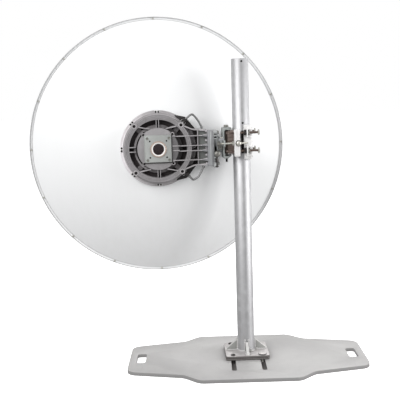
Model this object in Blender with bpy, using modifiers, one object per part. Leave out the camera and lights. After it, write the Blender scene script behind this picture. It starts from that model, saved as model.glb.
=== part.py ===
# Parabolic dish antenna on a short mast with a weighted base plate.
# Metres, +Z up. The origin is on the underside of the base plate, on the mast's axis.
# +Y is where the plate faces away from the viewer; the dish looks towards +Y and a little to the left.

import math

import bmesh
import bpy
from mathutils import Matrix, Vector

# Gap between pieces that touch
GAP = 0.0003

# Base plate, an oblong of thick steel with tapered ends
PLATE_T = 0.0127
PLATE_HALF_LENGTH = 0.420
PLATE_HALF_DEPTH = 0.233
PLATE_CENTRE_Y = -0.0246
SHOULDER_X = 0.155
NECK_X = 0.240
NECK_HALF_DEPTH = 0.174
TIP_HALF_DEPTH = 0.140
TIP_RADIUS = 0.040
HAND_HOLE_X = 0.378
HAND_HOLE_LENGTH = 0.095
HAND_HOLE_WIDTH = 0.033
HAND_HOLE_CORNER_R = 0.010
ADJUST_SLOT_X = 0.052
ADJUST_SLOT_LENGTH = 0.306
ADJUST_SLOT_WIDTH = 0.015

# Foot of the mast, which stands a little turned in its slots
FOOT_TURN = math.radians(1.9)
FOOT_SIDE = 0.154
FOOT_CORNER_R = 0.010
FOOT_LAYER_T = 0.0080
FOOT_BOLT_X = 0.052
FOOT_BOLT_Y = 0.064
FOOT_BOLT_R = 0.0050
FOOT_BOLT_HEAD_R = 0.0085
FOOT_BOLT_CROWN_R = 0.0062
FOOT_BOLT_HEAD_T = 0.0045
FOOT_BOLT_END_Z = 0.001
GUSSET_T = 0.009
GUSSET_REACH = 0.042
GUSSET_HEIGHT = 0.036

# Mast, a steel pipe of 60.3 mm
MAST_R = 0.03015
MAST_WALL = 0.0039
MAST_TOP = 1.066
MAST_HOLE_X = 0.0044
MAST_HOLE_R = 0.0026
MAST_HOLE_Z = (1.056, 0.846)

# Head: everything above the clamp is turned this far about the mast.
# In its frame u runs to the right, v away from the viewer and z up.
HEAD_TURN = math.radians(4.05)

# Joint axes
AZIMUTH_U = -0.053
ELEVATION_V = 0.004
AXES_Z = 0.772

# Holes along Z are cut through the head from this height, over this length
CUT_Z = 0.70
CUT_LENGTH = 0.17

# Clamp on the mast
BLOCK_Z = (0.7400, 0.8215)
BLOCK_HALF_V = 0.024
NOSE_R = 0.0078
BAR_U = (-0.0303, -0.0111)
BAR_V = (0.034, 0.058)
BAR_Z = (0.732, 0.825)
SADDLE_U = (0.0045, 0.0350)
SADDLE_HALF_V = 0.0365
SADDLE_Z = (0.721, 0.839)
EAR_U = (0.0120, 0.0163)
EAR_HALF_V = 0.060
EAR_Z = ((0.733, 0.768), (0.797, 0.828))
CLAMP_BOLT_V = 0.047
CLAMP_BOLT_R = 0.0050
CLAMP_BOLT_U = (-0.058, 0.0490)
CLAMP_NUT_R = 0.0098
CLAMP_HEAD_R = 0.0105
CLAMP_BOLT_Z = {"upper": 0.8135, "lower": 0.7515}

# Azimuth yoke, its pivot bolt and its adjusting screw
WEB_U = (-0.0677, -0.0620)
YOKE_END_U = -0.036
YOKE_HALF_V = 0.031
YOKE_TIP_HALF_V = 0.018
YOKE_Z = (0.7248, 0.8320)
FLANGE_T = 0.0080
PIVOT_R = 0.0048
PIVOT_HEAD_R = 0.0088
PIVOT_END_R = 0.0034
PIVOT_END_Z = 0.711
TAB_V = -0.060
TAB_Z = (0.766, 0.790)
TAB_HOLE_R = 0.0085
AZIMUTH_SCREW_V = -0.047
AZIMUTH_SCREW_Z = 0.778
AZIMUTH_SCREW_R = 0.0040
SWIVEL_U = -0.0165
SWIVEL_PIN_R = 0.0045
SWIVEL_HEAD_R = 0.0090

# Elevation boss on the yoke, bracket on the antenna and its adjusting screw
BOSS_U = (-0.0850, -0.0682)
BOSS_WIDE_R = 0.031
BOSS_NARROW_R = 0.026
BRACKET_LOW = (-0.1010, -0.030, 0.694)
BRACKET_HIGH = (-0.0858, 0.044, 0.8235)
ELEVATION_PIN_R = 0.0080
LOCK_U = -0.0772
LOCK_Z = 0.765
LOCK_R = 0.0078
STUD_R = 0.0040
TILT_PIN_U = -0.0888
TILT_PIN_Z = 0.743
TILT_PIN_R = 0.0105
TILT_SCREW_U = -0.0910
TILT_SCREW_V = -0.039
TILT_SCREW_R = 0.0030

# Reflector
DISH_U = -0.2905
DISH_Z = 0.7635
RIM_V = 0.190
RIM_R = 0.4683
RIM_FLANGE = 0.010
RIM_RETURN = 0.009
SHEET = 0.002
SEAT_V = 0.048
SEAT_R = 0.120
DISH_SEGMENTS = 72
DISH_STEPS = 12

# Hub casting: heights are measured from its mounting face towards the viewer
HUB_V = SEAT_V - SHEET - GAP
HUB_FLANGE_R = 0.134
HUB_FLANGE_H = 0.007
LEDGE_R = 0.125
LEDGE_H = 0.011
RING_OUTER_R = 0.1175
RING_INNER_R = 0.1010
RING_H = 0.0407
TROUGH_H = 0.010
BOSS_FOOT_R = 0.085
BOSS_FOOT_H = 0.024
HUB_BOSS_R = 0.073
HUB_BOSS_H = 0.0447
HUB_BORE_R = 0.0262
RIB_T = 0.0044
RIB_H = 0.0400
CORNER_BOSS_XY = 0.081
CORNER_BOSS_R = 0.0095
CORNER_HOLE_R = 0.0040

# Arm, in hub coordinates: x from the hub's axis to the right, y up
ARM_FLOOR_H = 0.006
ARM_SHELF_H = 0.030
ARM_TOP_EDGE = [(0.080, 0.084), (0.121, 0.067), (0.172, 0.0625)]
ARM_BOTTOM_EDGE = [(0.082, -0.080), (0.124, -0.064), (0.172, -0.0615)]
ARM_RIBS_Y = (0.042, 0.008, -0.010, -0.042)
ARM_CROSS_X = 0.139
ARM_FLANGE_LOW = (-0.1195, -0.030, 0.7015)
ARM_FLANGE_HIGH = (-0.1014, 0.0415, 0.8242)
FOOT_BOSS_R = 0.006
FOOT_BOSS_H = 0.033

# Handles, bent rods beside the arm: (x, distance from the hub's axis)
HANDLE_R = 0.0035
HANDLE_H = 0.027
HANDLE_UPPER = [(0.0990, 0.1015), (0.1164, 0.1150), (0.1220, 0.1172), (0.1308, 0.1096), (0.1446, 0.0904)]
HANDLE_UPPER_END = (0.1567, 0.0664)
HANDLE_LOWER = [(0.1030, -0.0975), (0.1150, -0.1108), (0.1203, -0.1140), (0.1376, -0.1034), (0.1495, -0.0833)]
HANDLE_LOWER_END = (0.1587, -0.0658)
FOOT_BOSSES = [(0.0940, 0.0975), (0.0985, -0.0925)]

# Adapter plate and waveguide
ADAPTER_SIDE = 0.098
ADAPTER_STEP = 0.004
ADAPTER_TOP_SIDE = 0.090
ADAPTER_T = 0.008
GUIDE_R = 0.0255
GUIDE_BORE_R = 0.0192
GUIDE_COLLAR_R = 0.0277
GUIDE_COLLAR_T = 0.003

# Feed on the concave side
FEED_TIP_V = 0.398
SUB_REFLECTOR_R = 0.052
SUB_REFLECTOR_T = 0.004
CONE_LENGTH = 0.055
CONE_PLUG = 0.030


def material(name, colour, roughness, metallic):
    """A plain Principled material."""
    made = bpy.data.materials.new(name)
    made.use_nodes = True
    shader = made.node_tree.nodes["Principled BSDF"]
    shader.inputs["Base Color"].default_value = (*colour, 1.0)
    shader.inputs["Roughness"].default_value = roughness
    shader.inputs["Metallic"].default_value = metallic
    made.diffuse_color = (*colour, 1.0)
    return made


def clear_scene():
    for obj in list(bpy.data.objects):
        bpy.data.objects.remove(obj, do_unlink=True)


def collection(name):
    made = bpy.data.collections.new(name)
    bpy.context.scene.collection.children.link(made)
    return made


def add(name, mesh, finish=None, parent=None):
    """A new object of the part, on a parent empty where one is given."""
    obj = bpy.data.objects.new(name, mesh)
    PART.objects.link(obj)
    if finish:
        mesh.materials.append(finish)
    attach(obj, parent)
    return obj


def attach(obj, empty):
    """Parents obj to an axis empty, so that obj's own place stays in the frame of the head."""
    if empty:
        obj.parent = empty
        obj.matrix_parent_inverse = Matrix.Translation(-Vector(empty["in_head"]))


def axis_empty(name, parent, place):
    """An empty on a joint's axis; place is in the head's frame."""
    empty = bpy.data.objects.new(name, None)
    PART.objects.link(empty)
    empty.empty_display_size = 0.08
    empty["in_head"] = place
    if parent:
        empty.parent = parent
        empty.location = Vector(place) - Vector(parent["in_head"])
    return empty


def cutter(obj):
    """Takes a helper object out of the part and hides it from renders."""
    for home in list(obj.users_collection):
        home.objects.unlink(obj)
    CUTTERS.objects.link(obj)
    obj.hide_render = True
    obj.display_type = "WIRE"
    return obj


def boolean(obj, other, operation):
    change = obj.modifiers.new(other.name, "BOOLEAN")
    change.operation = operation
    change.object = cutter(other)
    change.solver = "EXACT"
    return obj


def cut(obj, *others):
    for other in others:
        boolean(obj, other, "DIFFERENCE")
    return obj


def join(obj, *others):
    for other in others:
        boolean(obj, other, "UNION")
    return obj


def box(name, low, high, finish=None, parent=None):
    """A box between two corners, its origin at its middle."""
    low = Vector(low)
    high = Vector(high)
    mesh = bpy.data.meshes.new(name)
    shape = bmesh.new()
    bmesh.ops.create_cube(shape, size=1.0, matrix=Matrix.Diagonal((*(high - low), 1.0)))
    shape.to_mesh(mesh)
    shape.free()
    obj = add(name, mesh, finish, parent)
    obj.location = (low + high) / 2
    return obj


TURN = {
    "X": Matrix.Rotation(math.radians(90), 4, "Y"),
    "Y": Matrix.Rotation(math.radians(-90), 4, "X"),
    "Z": Matrix.Identity(4),
}


def rod(name, start, length, radius, axis="Z", finish=None, parent=None, sides=24, end_radius=None):
    """A cylinder, cone or, with six sides, a hexagon that starts at a point and runs along an axis."""
    mesh = bpy.data.meshes.new(name)
    shape = bmesh.new()
    bmesh.ops.create_cone(
        shape,
        cap_ends=True,
        segments=sides,
        radius1=radius,
        radius2=radius if end_radius is None else end_radius,
        depth=length,
        matrix=TURN[axis] @ Matrix.Translation((0, 0, length / 2)),
    )
    shape.to_mesh(mesh)
    shape.free()
    if sides > 8:
        mesh.shade_smooth()
        mesh.set_sharp_from_angle(angle=math.radians(40))
    obj = add(name, mesh, finish, parent)
    obj.location = start
    return obj


def turned(name, profile, steps, finish=None, parent=None):
    """A turned shape about local Z: profile is (radius, height), down its outer side."""
    mesh = bpy.data.meshes.new(name)
    count = len(profile)
    closed = profile[0][0] > 0 and profile[-1][0] > 0
    edges = [(i, (i + 1) % count) for i in range(count if closed else count - 1)]
    mesh.from_pydata([(r, 0, h) for r, h in profile], edges, [])
    obj = add(name, mesh, finish, parent)
    spin = obj.modifiers.new("turn", "SCREW")
    spin.steps = steps
    spin.render_steps = steps
    spin.use_merge_vertices = True
    spin.merge_threshold = 0.00005
    spin.use_smooth_shade = True
    return obj


def outline(name, points, thickness, finish=None, parent=None):
    """A flat plate in its local XY plane from a closed outline, centred on its thickness."""
    curve = bpy.data.curves.new(name, "CURVE")
    curve.dimensions = "2D"
    curve.fill_mode = "BOTH"
    curve.extrude = thickness / 2
    spline = curve.splines.new("POLY")
    spline.points.add(len(points) - 1)
    for point, (x, y) in zip(spline.points, points):
        point.co = (x, y, 0, 1)
    spline.use_cyclic_u = True
    flat = bpy.data.objects.new(name + "_curve", curve)
    PART.objects.link(flat)
    bpy.context.view_layer.update()
    mesh = bpy.data.meshes.new_from_object(flat.evaluated_get(bpy.context.evaluated_depsgraph_get()))
    mesh.name = name
    bpy.data.objects.remove(flat)
    bpy.data.curves.remove(curve)
    shape = bmesh.new()
    shape.from_mesh(mesh)
    bmesh.ops.remove_doubles(shape, verts=shape.verts, dist=0.00001)
    bmesh.ops.recalc_face_normals(shape, faces=shape.faces)
    shape.to_mesh(mesh)
    shape.free()
    return add(name, mesh, finish, parent)


def arc(centre, radius, start, end, steps):
    """Points on an arc, angles in degrees."""
    turns = [math.radians(start + (end - start) * i / steps) for i in range(steps + 1)]
    return [(centre[0] + radius * math.cos(t), centre[1] + radius * math.sin(t)) for t in turns]


def slot_outline(length, width, steps=6):
    """A slot with round ends, its length along Y."""
    run = (length - width) / 2
    return arc((0, run), width / 2, 0, 180, steps) + arc((0, -run), width / 2, 180, 360, steps)


def rounded_oblong(width, depth, radius):
    """A centred oblong with round corners."""
    points = []
    for quarter, (x, y) in enumerate(((1, 1), (-1, 1), (-1, -1), (1, -1))):
        centre = (x * (width / 2 - radius), y * (depth / 2 - radius))
        points += arc(centre, radius, 90 * quarter, 90 * quarter + 90, 4)
    return points


def base_plate():
    """The oblong plate, with a hand hole in each end and two long slots for the mast's foot."""
    tip = (PLATE_HALF_LENGTH - TIP_RADIUS, TIP_HALF_DEPTH - TIP_RADIUS)
    quarter = arc(tip, TIP_RADIUS, 0, 77, 7)
    steps = 8
    for i in range(steps + 1):
        ease = (1 - math.cos(math.pi * i / steps)) / 2
        x = NECK_X + (SHOULDER_X - NECK_X) * i / steps
        quarter.append((x, NECK_HALF_DEPTH + (PLATE_HALF_DEPTH - NECK_HALF_DEPTH) * ease))
    half = quarter + [(-x, y) for x, y in reversed(quarter)]
    points = half + [(x, -y) for x, y in reversed(half)]
    plate = outline("base_plate", points, PLATE_T, STEEL)
    plate.location = (0, PLATE_CENTRE_Y, PLATE_T / 2)
    for side in (-1, 1):
        hole = rounded_oblong(HAND_HOLE_WIDTH, HAND_HOLE_LENGTH, HAND_HOLE_CORNER_R)
        hand = outline("hand_hole_cutter", hole, 2 * PLATE_T)
        hand.location = (side * HAND_HOLE_X, PLATE_CENTRE_Y, PLATE_T / 2)
        long = outline("slot_cutter", slot_outline(ADJUST_SLOT_LENGTH, ADJUST_SLOT_WIDTH), 2 * PLATE_T)
        long.location = (side * ADJUST_SLOT_X, PLATE_CENTRE_Y, PLATE_T / 2)
        cut(plate, hand, long)


def foot_layers(foot):
    """Two square plates on the base plate. Returns the height of their top."""
    places = [(x, y) for x in (-FOOT_BOLT_X, FOOT_BOLT_X) for y in (-FOOT_BOLT_Y, FOOT_BOLT_Y)]
    low = PLATE_T + GAP
    for name in ("foot_spacer", "foot_plate"):
        thickness = FOOT_LAYER_T - GAP
        layer = outline(name, rounded_oblong(FOOT_SIDE, FOOT_SIDE, FOOT_CORNER_R), thickness, STEEL, foot)
        layer.location = (0, 0, low + thickness / 2)
        for x, y in places:
            start = (x, y, low - thickness)
            cut(layer, rod("foot_hole", start, 3 * thickness, FOOT_BOLT_R + GAP, sides=16, parent=foot))
        low += FOOT_LAYER_T
    return low


def foot_bolts(foot, top):
    """Four low round-headed bolts that reach down into the base plate's slots."""
    for front, y in (("front", -FOOT_BOLT_Y), ("back", FOOT_BOLT_Y)):
        for side, x in (("left", -FOOT_BOLT_X), ("right", FOOT_BOLT_X)):
            length = top + FOOT_BOLT_HEAD_T / 2 - FOOT_BOLT_END_Z
            start = (x, y, FOOT_BOLT_END_Z)
            bolt = rod(f"foot_bolt_{front}_{side}", start, length, FOOT_BOLT_R, finish=ZINC, parent=foot)
            head = rod(
                "foot_bolt_head",
                (x, y, top + GAP),
                FOOT_BOLT_HEAD_T,
                FOOT_BOLT_HEAD_R,
                end_radius=FOOT_BOLT_CROWN_R,
                parent=foot,
            )
            join(bolt, head)


def gussets(foot, top):
    """Four triangular plates between the mast and its foot."""
    inner = MAST_R + GAP
    points = [
        (inner, 0),
        (inner + GUSSET_REACH, 0),
        (inner + GUSSET_REACH, 0.004),
        (inner + 0.006, GUSSET_HEIGHT),
        (inner, GUSSET_HEIGHT),
    ]
    for name, turn in (("right", 0), ("back", 90), ("left", 180), ("front", 270)):
        gusset = outline("gusset_" + name, points, GUSSET_T, GALVANISED, foot)
        gusset.rotation_euler = (math.radians(90), 0, math.radians(turn))
        gusset.location = (0, 0, top)


def mast(foot_top):
    """The open pipe, with two small holes drilled in its near side."""
    pipe = turned(
        "mast_pipe",
        [
            (MAST_R, MAST_TOP),
            (MAST_R, foot_top + GAP),
            (MAST_R - MAST_WALL, foot_top + GAP),
            (MAST_R - MAST_WALL, MAST_TOP),
        ],
        64,
        GALVANISED,
    )
    for z in MAST_HOLE_Z:
        cut(pipe, rod("mast_hole", (MAST_HOLE_X, -0.040, z), 0.040, MAST_HOLE_R, "Y", sides=12))


def clamp_block(head):
    """The inner half of the clamp: a nose for the pivot bolt and two bars for the clamp bolts."""
    shoulder = AZIMUTH_U + 0.003
    nose = arc((AZIMUTH_U, 0), NOSE_R, 90, 270, 8)
    points = nose + [
        (shoulder, -BLOCK_HALF_V),
        (BAR_U[0], -BLOCK_HALF_V),
        (BAR_U[0], -BAR_V[0] - 0.002),
        (BAR_U[1], -BAR_V[0] - 0.002),
    ]
    points += [(u, -v) for u, v in reversed(points[len(nose):])]
    block = outline("clamp_block", points, BLOCK_Z[1] - BLOCK_Z[0], ALUMINIUM, head)
    block.location = (0, 0, sum(BLOCK_Z) / 2)
    for side in (-1, 1):
        near, far = sorted(side * v for v in BAR_V)
        join(block, box("clamp_bar", (BAR_U[0], near, BAR_Z[0]), (BAR_U[1], far, BAR_Z[1]), parent=head))
    cut(block, rod("grip_cutter", (0, 0, CUT_Z), CUT_LENGTH, MAST_R + GAP, sides=48, parent=head))
    cut(block, rod("pivot_hole", (AZIMUTH_U, 0, CUT_Z), CUT_LENGTH, PIVOT_R + GAP, parent=head))
    screw = (-0.05, AZIMUTH_SCREW_V, AZIMUTH_SCREW_Z)
    cut(block, rod("screw_hole", screw, 0.06, AZIMUTH_SCREW_R + GAP, "X", sides=16, parent=head))
    pin = (SWIVEL_U, -0.07, AZIMUTH_SCREW_Z)
    cut(block, rod("swivel_hole", pin, 0.0185, SWIVEL_PIN_R + GAP, "Y", sides=16, parent=head))
    return block


def clamp_saddle(head):
    """The outer half of the clamp, with two ears on each side."""
    low, high = SADDLE_Z
    u0, u1 = SADDLE_U
    saddle = box("clamp_saddle", (u0, -SADDLE_HALF_V, low), (u1, SADDLE_HALF_V, high), ALUMINIUM, head)
    for z0, z1 in EAR_Z:
        join(saddle, box("clamp_ear", (EAR_U[0], -EAR_HALF_V, z0), (EAR_U[1], EAR_HALF_V, z1), parent=head))
    cut(saddle, rod("grip_cutter", (0, 0, CUT_Z), CUT_LENGTH, MAST_R + GAP, sides=48, parent=head))
    return saddle


def clamp(head):
    """Both halves of the clamp and the four long bolts that pull them onto the mast."""
    block = clamp_block(head)
    saddle = clamp_saddle(head)
    for row, z in CLAMP_BOLT_Z.items():
        for side, v in (("near", -CLAMP_BOLT_V), ("far", CLAMP_BOLT_V)):
            for half, start in ((block, -0.040), (saddle, 0)):
                hole = rod("bolt_hole", (start, v, z), 0.040, CLAMP_BOLT_R + 0.0008, "X", sides=16, parent=head)
                cut(half, hole)
            u0, u1 = CLAMP_BOLT_U
            bolt = rod(f"clamp_bolt_{row}_{side}", (u0, v, z), u1 - u0, CLAMP_BOLT_R, "X", ZINC, head, 16)
            join(
                bolt,
                rod("bolt_head", (0.0480, v, z), 0.0090, CLAMP_HEAD_R, "X", sides=6, parent=head),
                rod("bolt_nut", (0.0040, v, z), 0.0077, CLAMP_NUT_R, "X", sides=6, parent=head),
                rod("bolt_nut", (0.0166, v, z), 0.0050, CLAMP_NUT_R, "X", sides=6, parent=head),
            )


def yoke(swivel):
    """The C-shaped yoke that swings on the clamp's nose, with a tab for the azimuth screw."""
    low, high = YOKE_Z
    outer, inner = WEB_U
    section = [
        (outer, low),
        (-0.050, low + 0.0005),
        (YOKE_END_U - 0.001, low + 0.0085),
        (YOKE_END_U - 0.001, low + 0.0135),
        (-0.050, low + FLANGE_T),
        (inner, low + FLANGE_T),
        (inner, high - FLANGE_T),
        (YOKE_END_U, high - FLANGE_T),
        (YOKE_END_U, high),
        (outer, high),
    ]
    body = outline("azimuth_yoke", section, 2 * YOKE_HALF_V, ALUMINIUM, swivel)
    body.rotation_euler = (math.radians(90), 0, 0)
    body.location = (0, 0, 0)
    for side in (-1, 1):
        corner = [
            (-0.052, side * (YOKE_HALF_V + 0.001)),
            (YOKE_END_U + 0.002, side * (YOKE_TIP_HALF_V - 0.002)),
            (YOKE_END_U + 0.002, side * (YOKE_HALF_V + 0.001)),
        ]
        chamfer = outline("yoke_corner", corner, 0.2, parent=swivel)
        chamfer.location = (0, 0, AXES_Z)
        cut(body, chamfer)
    tab = box("yoke_tab", (outer, TAB_V, TAB_Z[0]), (inner, -YOKE_HALF_V + 0.004, TAB_Z[1]), parent=swivel)
    join(body, tab)
    cut(body, rod("pivot_hole", (AZIMUTH_U, 0, CUT_Z), CUT_LENGTH, PIVOT_R + GAP, parent=swivel))
    screw = (-0.09, AZIMUTH_SCREW_V, AZIMUTH_SCREW_Z)
    cut(body, rod("screw_hole", screw, 0.05, TAB_HOLE_R, "X", parent=swivel))


def azimuth_hardware(head):
    """The vertical pivot bolt, the horizontal adjusting screw and its swivel pin."""
    top = YOKE_Z[1] + GAP
    pivot = rod("azimuth_pivot_bolt", (AZIMUTH_U, 0, YOKE_Z[0]), top - YOKE_Z[0] + 0.003, PIVOT_R, "Z", ZINC, head)
    join(
        pivot,
        rod("pivot_washer", (AZIMUTH_U, 0, top), 0.0018, PIVOT_HEAD_R + 0.001, parent=head),
        rod("pivot_head", (AZIMUTH_U, 0, top + 0.0015), 0.0068, PIVOT_HEAD_R, sides=6, parent=head),
        rod("pivot_end", (AZIMUTH_U, 0, PIVOT_END_Z), 0.0160, PIVOT_END_R, sides=16, parent=head),
    )
    at = (AZIMUTH_SCREW_V, AZIMUTH_SCREW_Z)
    screw = rod("azimuth_adjuster", (-0.0895, *at), 0.0995, AZIMUTH_SCREW_R, "X", ZINC, head, 16)
    join(
        screw,
        rod("screw_end", (0.0095, *at), 0.0085, AZIMUTH_SCREW_R, "X", sides=16, end_radius=0.0015, parent=head),
        rod("screw_nut", (-0.0900, *at), 0.0100, 0.0078, "X", sides=6, parent=head),
        rod("jam_nut", (-0.0370, *at), 0.0055, 0.0086, "X", sides=6, parent=head),
    )
    face = -BAR_V[1] - GAP
    start = (SWIVEL_U, face - 0.001, AZIMUTH_SCREW_Z)
    pin = rod("azimuth_swivel_pin", start, 0.0075, SWIVEL_PIN_R, "Y", ZINC, head, 16)
    dome = rod(
        "swivel_head",
        (SWIVEL_U, face - 0.0080, AZIMUTH_SCREW_Z),
        0.0080,
        0.0055,
        "Y",
        end_radius=SWIVEL_HEAD_R,
        parent=head,
    )
    join(pin, dome)


def elevation_parts(swivel, tilt):
    """The round boss on the yoke, the bracket on the antenna and the screws of the elevation drive."""
    centre = (ELEVATION_V, AXES_Z)
    length = BOSS_U[1] - BOSS_U[0]
    start = (BOSS_U[0], *centre)
    boss = rod("elevation_sector", start, length, BOSS_WIDE_R, "X", ALUMINIUM, swivel, 48, BOSS_NARROW_R)
    cut(boss, rod("pin_hole", (-0.10, *centre), 0.06, ELEVATION_PIN_R + 0.0006, "X", parent=swivel))
    lock = (LOCK_U, -0.0400, LOCK_Z)
    cut(boss, rod("lock_hole", lock, 0.0270, STUD_R + GAP, "Y", sides=16, parent=swivel))
    bolt = rod("elevation_lock_bolt", (LOCK_U, -0.0345, LOCK_Z), 0.0200, STUD_R, "Y", ZINC, swivel, 16)
    join(bolt, rod("lock_head", (LOCK_U, -0.0352, LOCK_Z), 0.0075, LOCK_R, "Y", sides=6, parent=swivel))
    bracket = box("elevation_bracket", BRACKET_LOW, BRACKET_HIGH, ALUMINIUM, tilt)
    cut(bracket, rod("pin_hole", (-0.12, *centre), 0.06, ELEVATION_PIN_R + GAP, "X", parent=tilt))
    rod("elevation_pivot_bolt", (-0.1005, *centre), 0.0318, ELEVATION_PIN_R, "X", ZINC, tilt)
    face = BRACKET_LOW[1] - GAP
    stub = (TILT_PIN_U, face - 0.0020, TILT_PIN_Z)
    cut(bracket, rod("stub_hole", stub, 0.0160, STUD_R + GAP, "Y", sides=16, parent=tilt))
    head_length = 0.0177
    pin_start = (TILT_PIN_U, face - head_length, TILT_PIN_Z)
    pin = rod("elevation_swivel_pin", pin_start, head_length, TILT_PIN_R, "Y", ZINC, tilt)
    join(pin, rod("stub", stub, 0.0140, STUD_R, "Y", sides=16, parent=tilt))
    at = (TILT_SCREW_U, TILT_SCREW_V)
    cut(pin, rod("screw_hole", (*at, 0.72), 0.05, TILT_SCREW_R + GAP, sides=16, parent=tilt))
    screw = rod("elevation_adjuster", (*at, 0.6970), 0.0600, TILT_SCREW_R, "Z", ZINC, tilt, 16)
    join(
        screw,
        rod("screw_nut", (*at, 0.7150), 0.0100, 0.0066, sides=6, parent=tilt),
        rod("screw_end", (*at, 0.6975), 0.0040, 0.0060, sides=16, parent=tilt),
    )


def reflector(tilt):
    """The spun dish: a flat seat for the hub, a paraboloid and a flat rim with a rolled edge."""
    inner = RIM_R - RIM_FLANGE
    top = RIM_V - SEAT_V
    focal = (inner**2 - SEAT_R**2) / (4 * top)

    def height(r):
        return (r**2 - SEAT_R**2) / (4 * focal)

    radii = [SEAT_R + (inner - SEAT_R) * i / DISH_STEPS for i in range(DISH_STEPS + 1)]
    front = [(r, height(r)) for r in radii]
    back = [(r, height(r) - SHEET) for r in radii]
    lip = [
        (RIM_R, top),
        (RIM_R, top - RIM_RETURN),
        (RIM_R - SHEET, top - RIM_RETURN),
        (RIM_R - SHEET, top - SHEET),
    ]
    profile = [(HUB_BORE_R, 0)] + front + lip + back[::-1] + [(HUB_BORE_R, -SHEET)]
    dish = turned("reflector", profile, DISH_SEGMENTS, WHITE_PAINT, tilt)
    dish.rotation_euler = (math.radians(-90), 0, 0)
    dish.location = (DISH_U, SEAT_V, DISH_Z)


def towards_viewer(obj, v):
    """Stands a turned or flat shape with its local Z towards the viewer and its zero at depth v."""
    obj.rotation_euler = (math.radians(90), 0, 0)
    obj.location = (DISH_U, v, DISH_Z)
    return obj


def slab(name, points, low, high, tilt):
    """A flat shape in hub coordinates between two heights above the mounting face."""
    return towards_viewer(outline(name, points, high - low, parent=tilt), HUB_V - (low + high) / 2)


def rib(start, end, width, low, high, tilt):
    """A straight rib in hub coordinates."""
    a = Vector(start)
    b = Vector(end)
    across = (b - a).orthogonal().normalized() * width / 2
    return slab("rib", [tuple(p) for p in (a + across, a - across, b - across, b + across)], low, high, tilt)


def hub(tilt):
    """The round casting on the back of the dish, with its ribs."""
    profile = [
        (HUB_BORE_R, HUB_BOSS_H),
        (HUB_BOSS_R, HUB_BOSS_H),
        (HUB_BOSS_R, BOSS_FOOT_H),
        (BOSS_FOOT_R, BOSS_FOOT_H),
        (BOSS_FOOT_R, TROUGH_H),
        (RING_INNER_R, TROUGH_H),
        (RING_INNER_R, RING_H),
        (RING_OUTER_R, RING_H),
        (RING_OUTER_R + 0.0015, LEDGE_H),
        (LEDGE_R, LEDGE_H),
        (LEDGE_R, HUB_FLANGE_H),
        (HUB_FLANGE_R, HUB_FLANGE_H),
        (HUB_FLANGE_R, 0),
        (HUB_BORE_R, 0),
    ]
    casting = towards_viewer(turned("hub_casting", profile, 48, ALUMINIUM, tilt), HUB_V)
    inside = HUB_BOSS_R - 0.003
    outside = RING_INNER_R + 0.003
    for offset in (-0.008, 0.008):
        join(casting, rib((-inside, offset), (-outside, offset), RIB_T, 0.009, RIB_H, tilt))
    for offset in (-0.004, 0.004):
        for side in (-1, 1):
            join(casting, rib((offset, side * inside), (offset, side * outside), 0.003, 0.009, RIB_H, tilt))
    for x in (-1, 1):
        for y in (-1, 1):
            corner = (x * CORNER_BOSS_XY, y * CORNER_BOSS_XY)
            slanted = rib((x * 0.028, y * 0.066), (x * 0.070, y * 0.0815), RIB_T, 0.009, RIB_H, tilt)
            low_rib = rib((x * 0.050, y * 0.050), (x * 0.074, y * 0.074), 0.017, 0.009, BOSS_FOOT_H - 0.002, tilt)
            boss = slab("corner_boss", arc(corner, CORNER_BOSS_R, 0, 345, 23), 0.003, RIB_H, tilt)
            hole = slab("corner_hole", arc(corner, CORNER_HOLE_R, 0, 330, 11), RIB_H - 0.012, RIB_H + 0.01, tilt)
            join(casting, slanted, low_rib, boss)
            cut(casting, hole)
    return casting


def arm(casting, tilt):
    """The ribbed arm from the hub to the elevation bracket, cast in one piece with the hub."""
    end = ARM_TOP_EDGE[-1][0]
    low = 0.0005
    floor = ARM_TOP_EDGE + ARM_BOTTOM_EDGE[::-1]
    shelf = [(ARM_CROSS_X, 0.064), (end, 0.0610), (end, -0.0600), (ARM_CROSS_X, -0.062)]
    join(casting, slab("arm_floor", floor, low, ARM_FLOOR_H, tilt))
    join(casting, slab("arm_shelf", shelf, 0.002, ARM_SHELF_H, tilt))
    for edge in (ARM_TOP_EDGE, ARM_BOTTOM_EDGE):
        inward = -RIB_T if edge is ARM_TOP_EDGE else RIB_T
        wall = edge + [(x, y + inward) for x, y in reversed(edge)]
        join(casting, slab("arm_wall", wall, 0.001, RIB_H - 0.0005, tilt))
    for y in ARM_RIBS_Y:
        inner = math.sqrt(HUB_BOSS_R**2 - y**2) - 0.003
        join(casting, rib((inner, y), (end, y), RIB_T, 0.003, RIB_H - 0.001, tilt))
    join(casting, rib((ARM_CROSS_X, 0.064), (ARM_CROSS_X, -0.062), 0.004, 0.004, RIB_H - 0.0015, tilt))
    join(casting, box("arm_flange", ARM_FLANGE_LOW, ARM_FLANGE_HIGH, parent=tilt))
    for side, place in zip((1, -1), FOOT_BOSSES):
        web = [(0.060, 0.1165), (0.098, 0.108), (0.132, 0.0655), (0.090, 0.060)]
        join(casting, slab("side_web", [(x, side * y) for x, y in web], 0.0015, 0.008, tilt))
        join(casting, slab("handle_boss", arc(place, FOOT_BOSS_R, 0, 337.5, 15), 0.005, FOOT_BOSS_H, tilt))


def handle(name, points, tilt):
    """A bent rod beside the arm, from a boss on the side web to the arm's edge."""
    curve = bpy.data.curves.new(name, "CURVE")
    curve.dimensions = "3D"
    curve.bevel_depth = HANDLE_R
    curve.bevel_resolution = 2
    curve.use_fill_caps = True
    spline = curve.splines.new("POLY")
    spline.points.add(len(points) - 1)
    for point, (x, y) in zip(spline.points, points):
        point.co = (DISH_U + x, HUB_V - HANDLE_H, DISH_Z + y, 1)
    obj = bpy.data.objects.new(name, curve)
    PART.objects.link(obj)
    curve.materials.append(ZINC)
    attach(obj, tilt)


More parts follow.
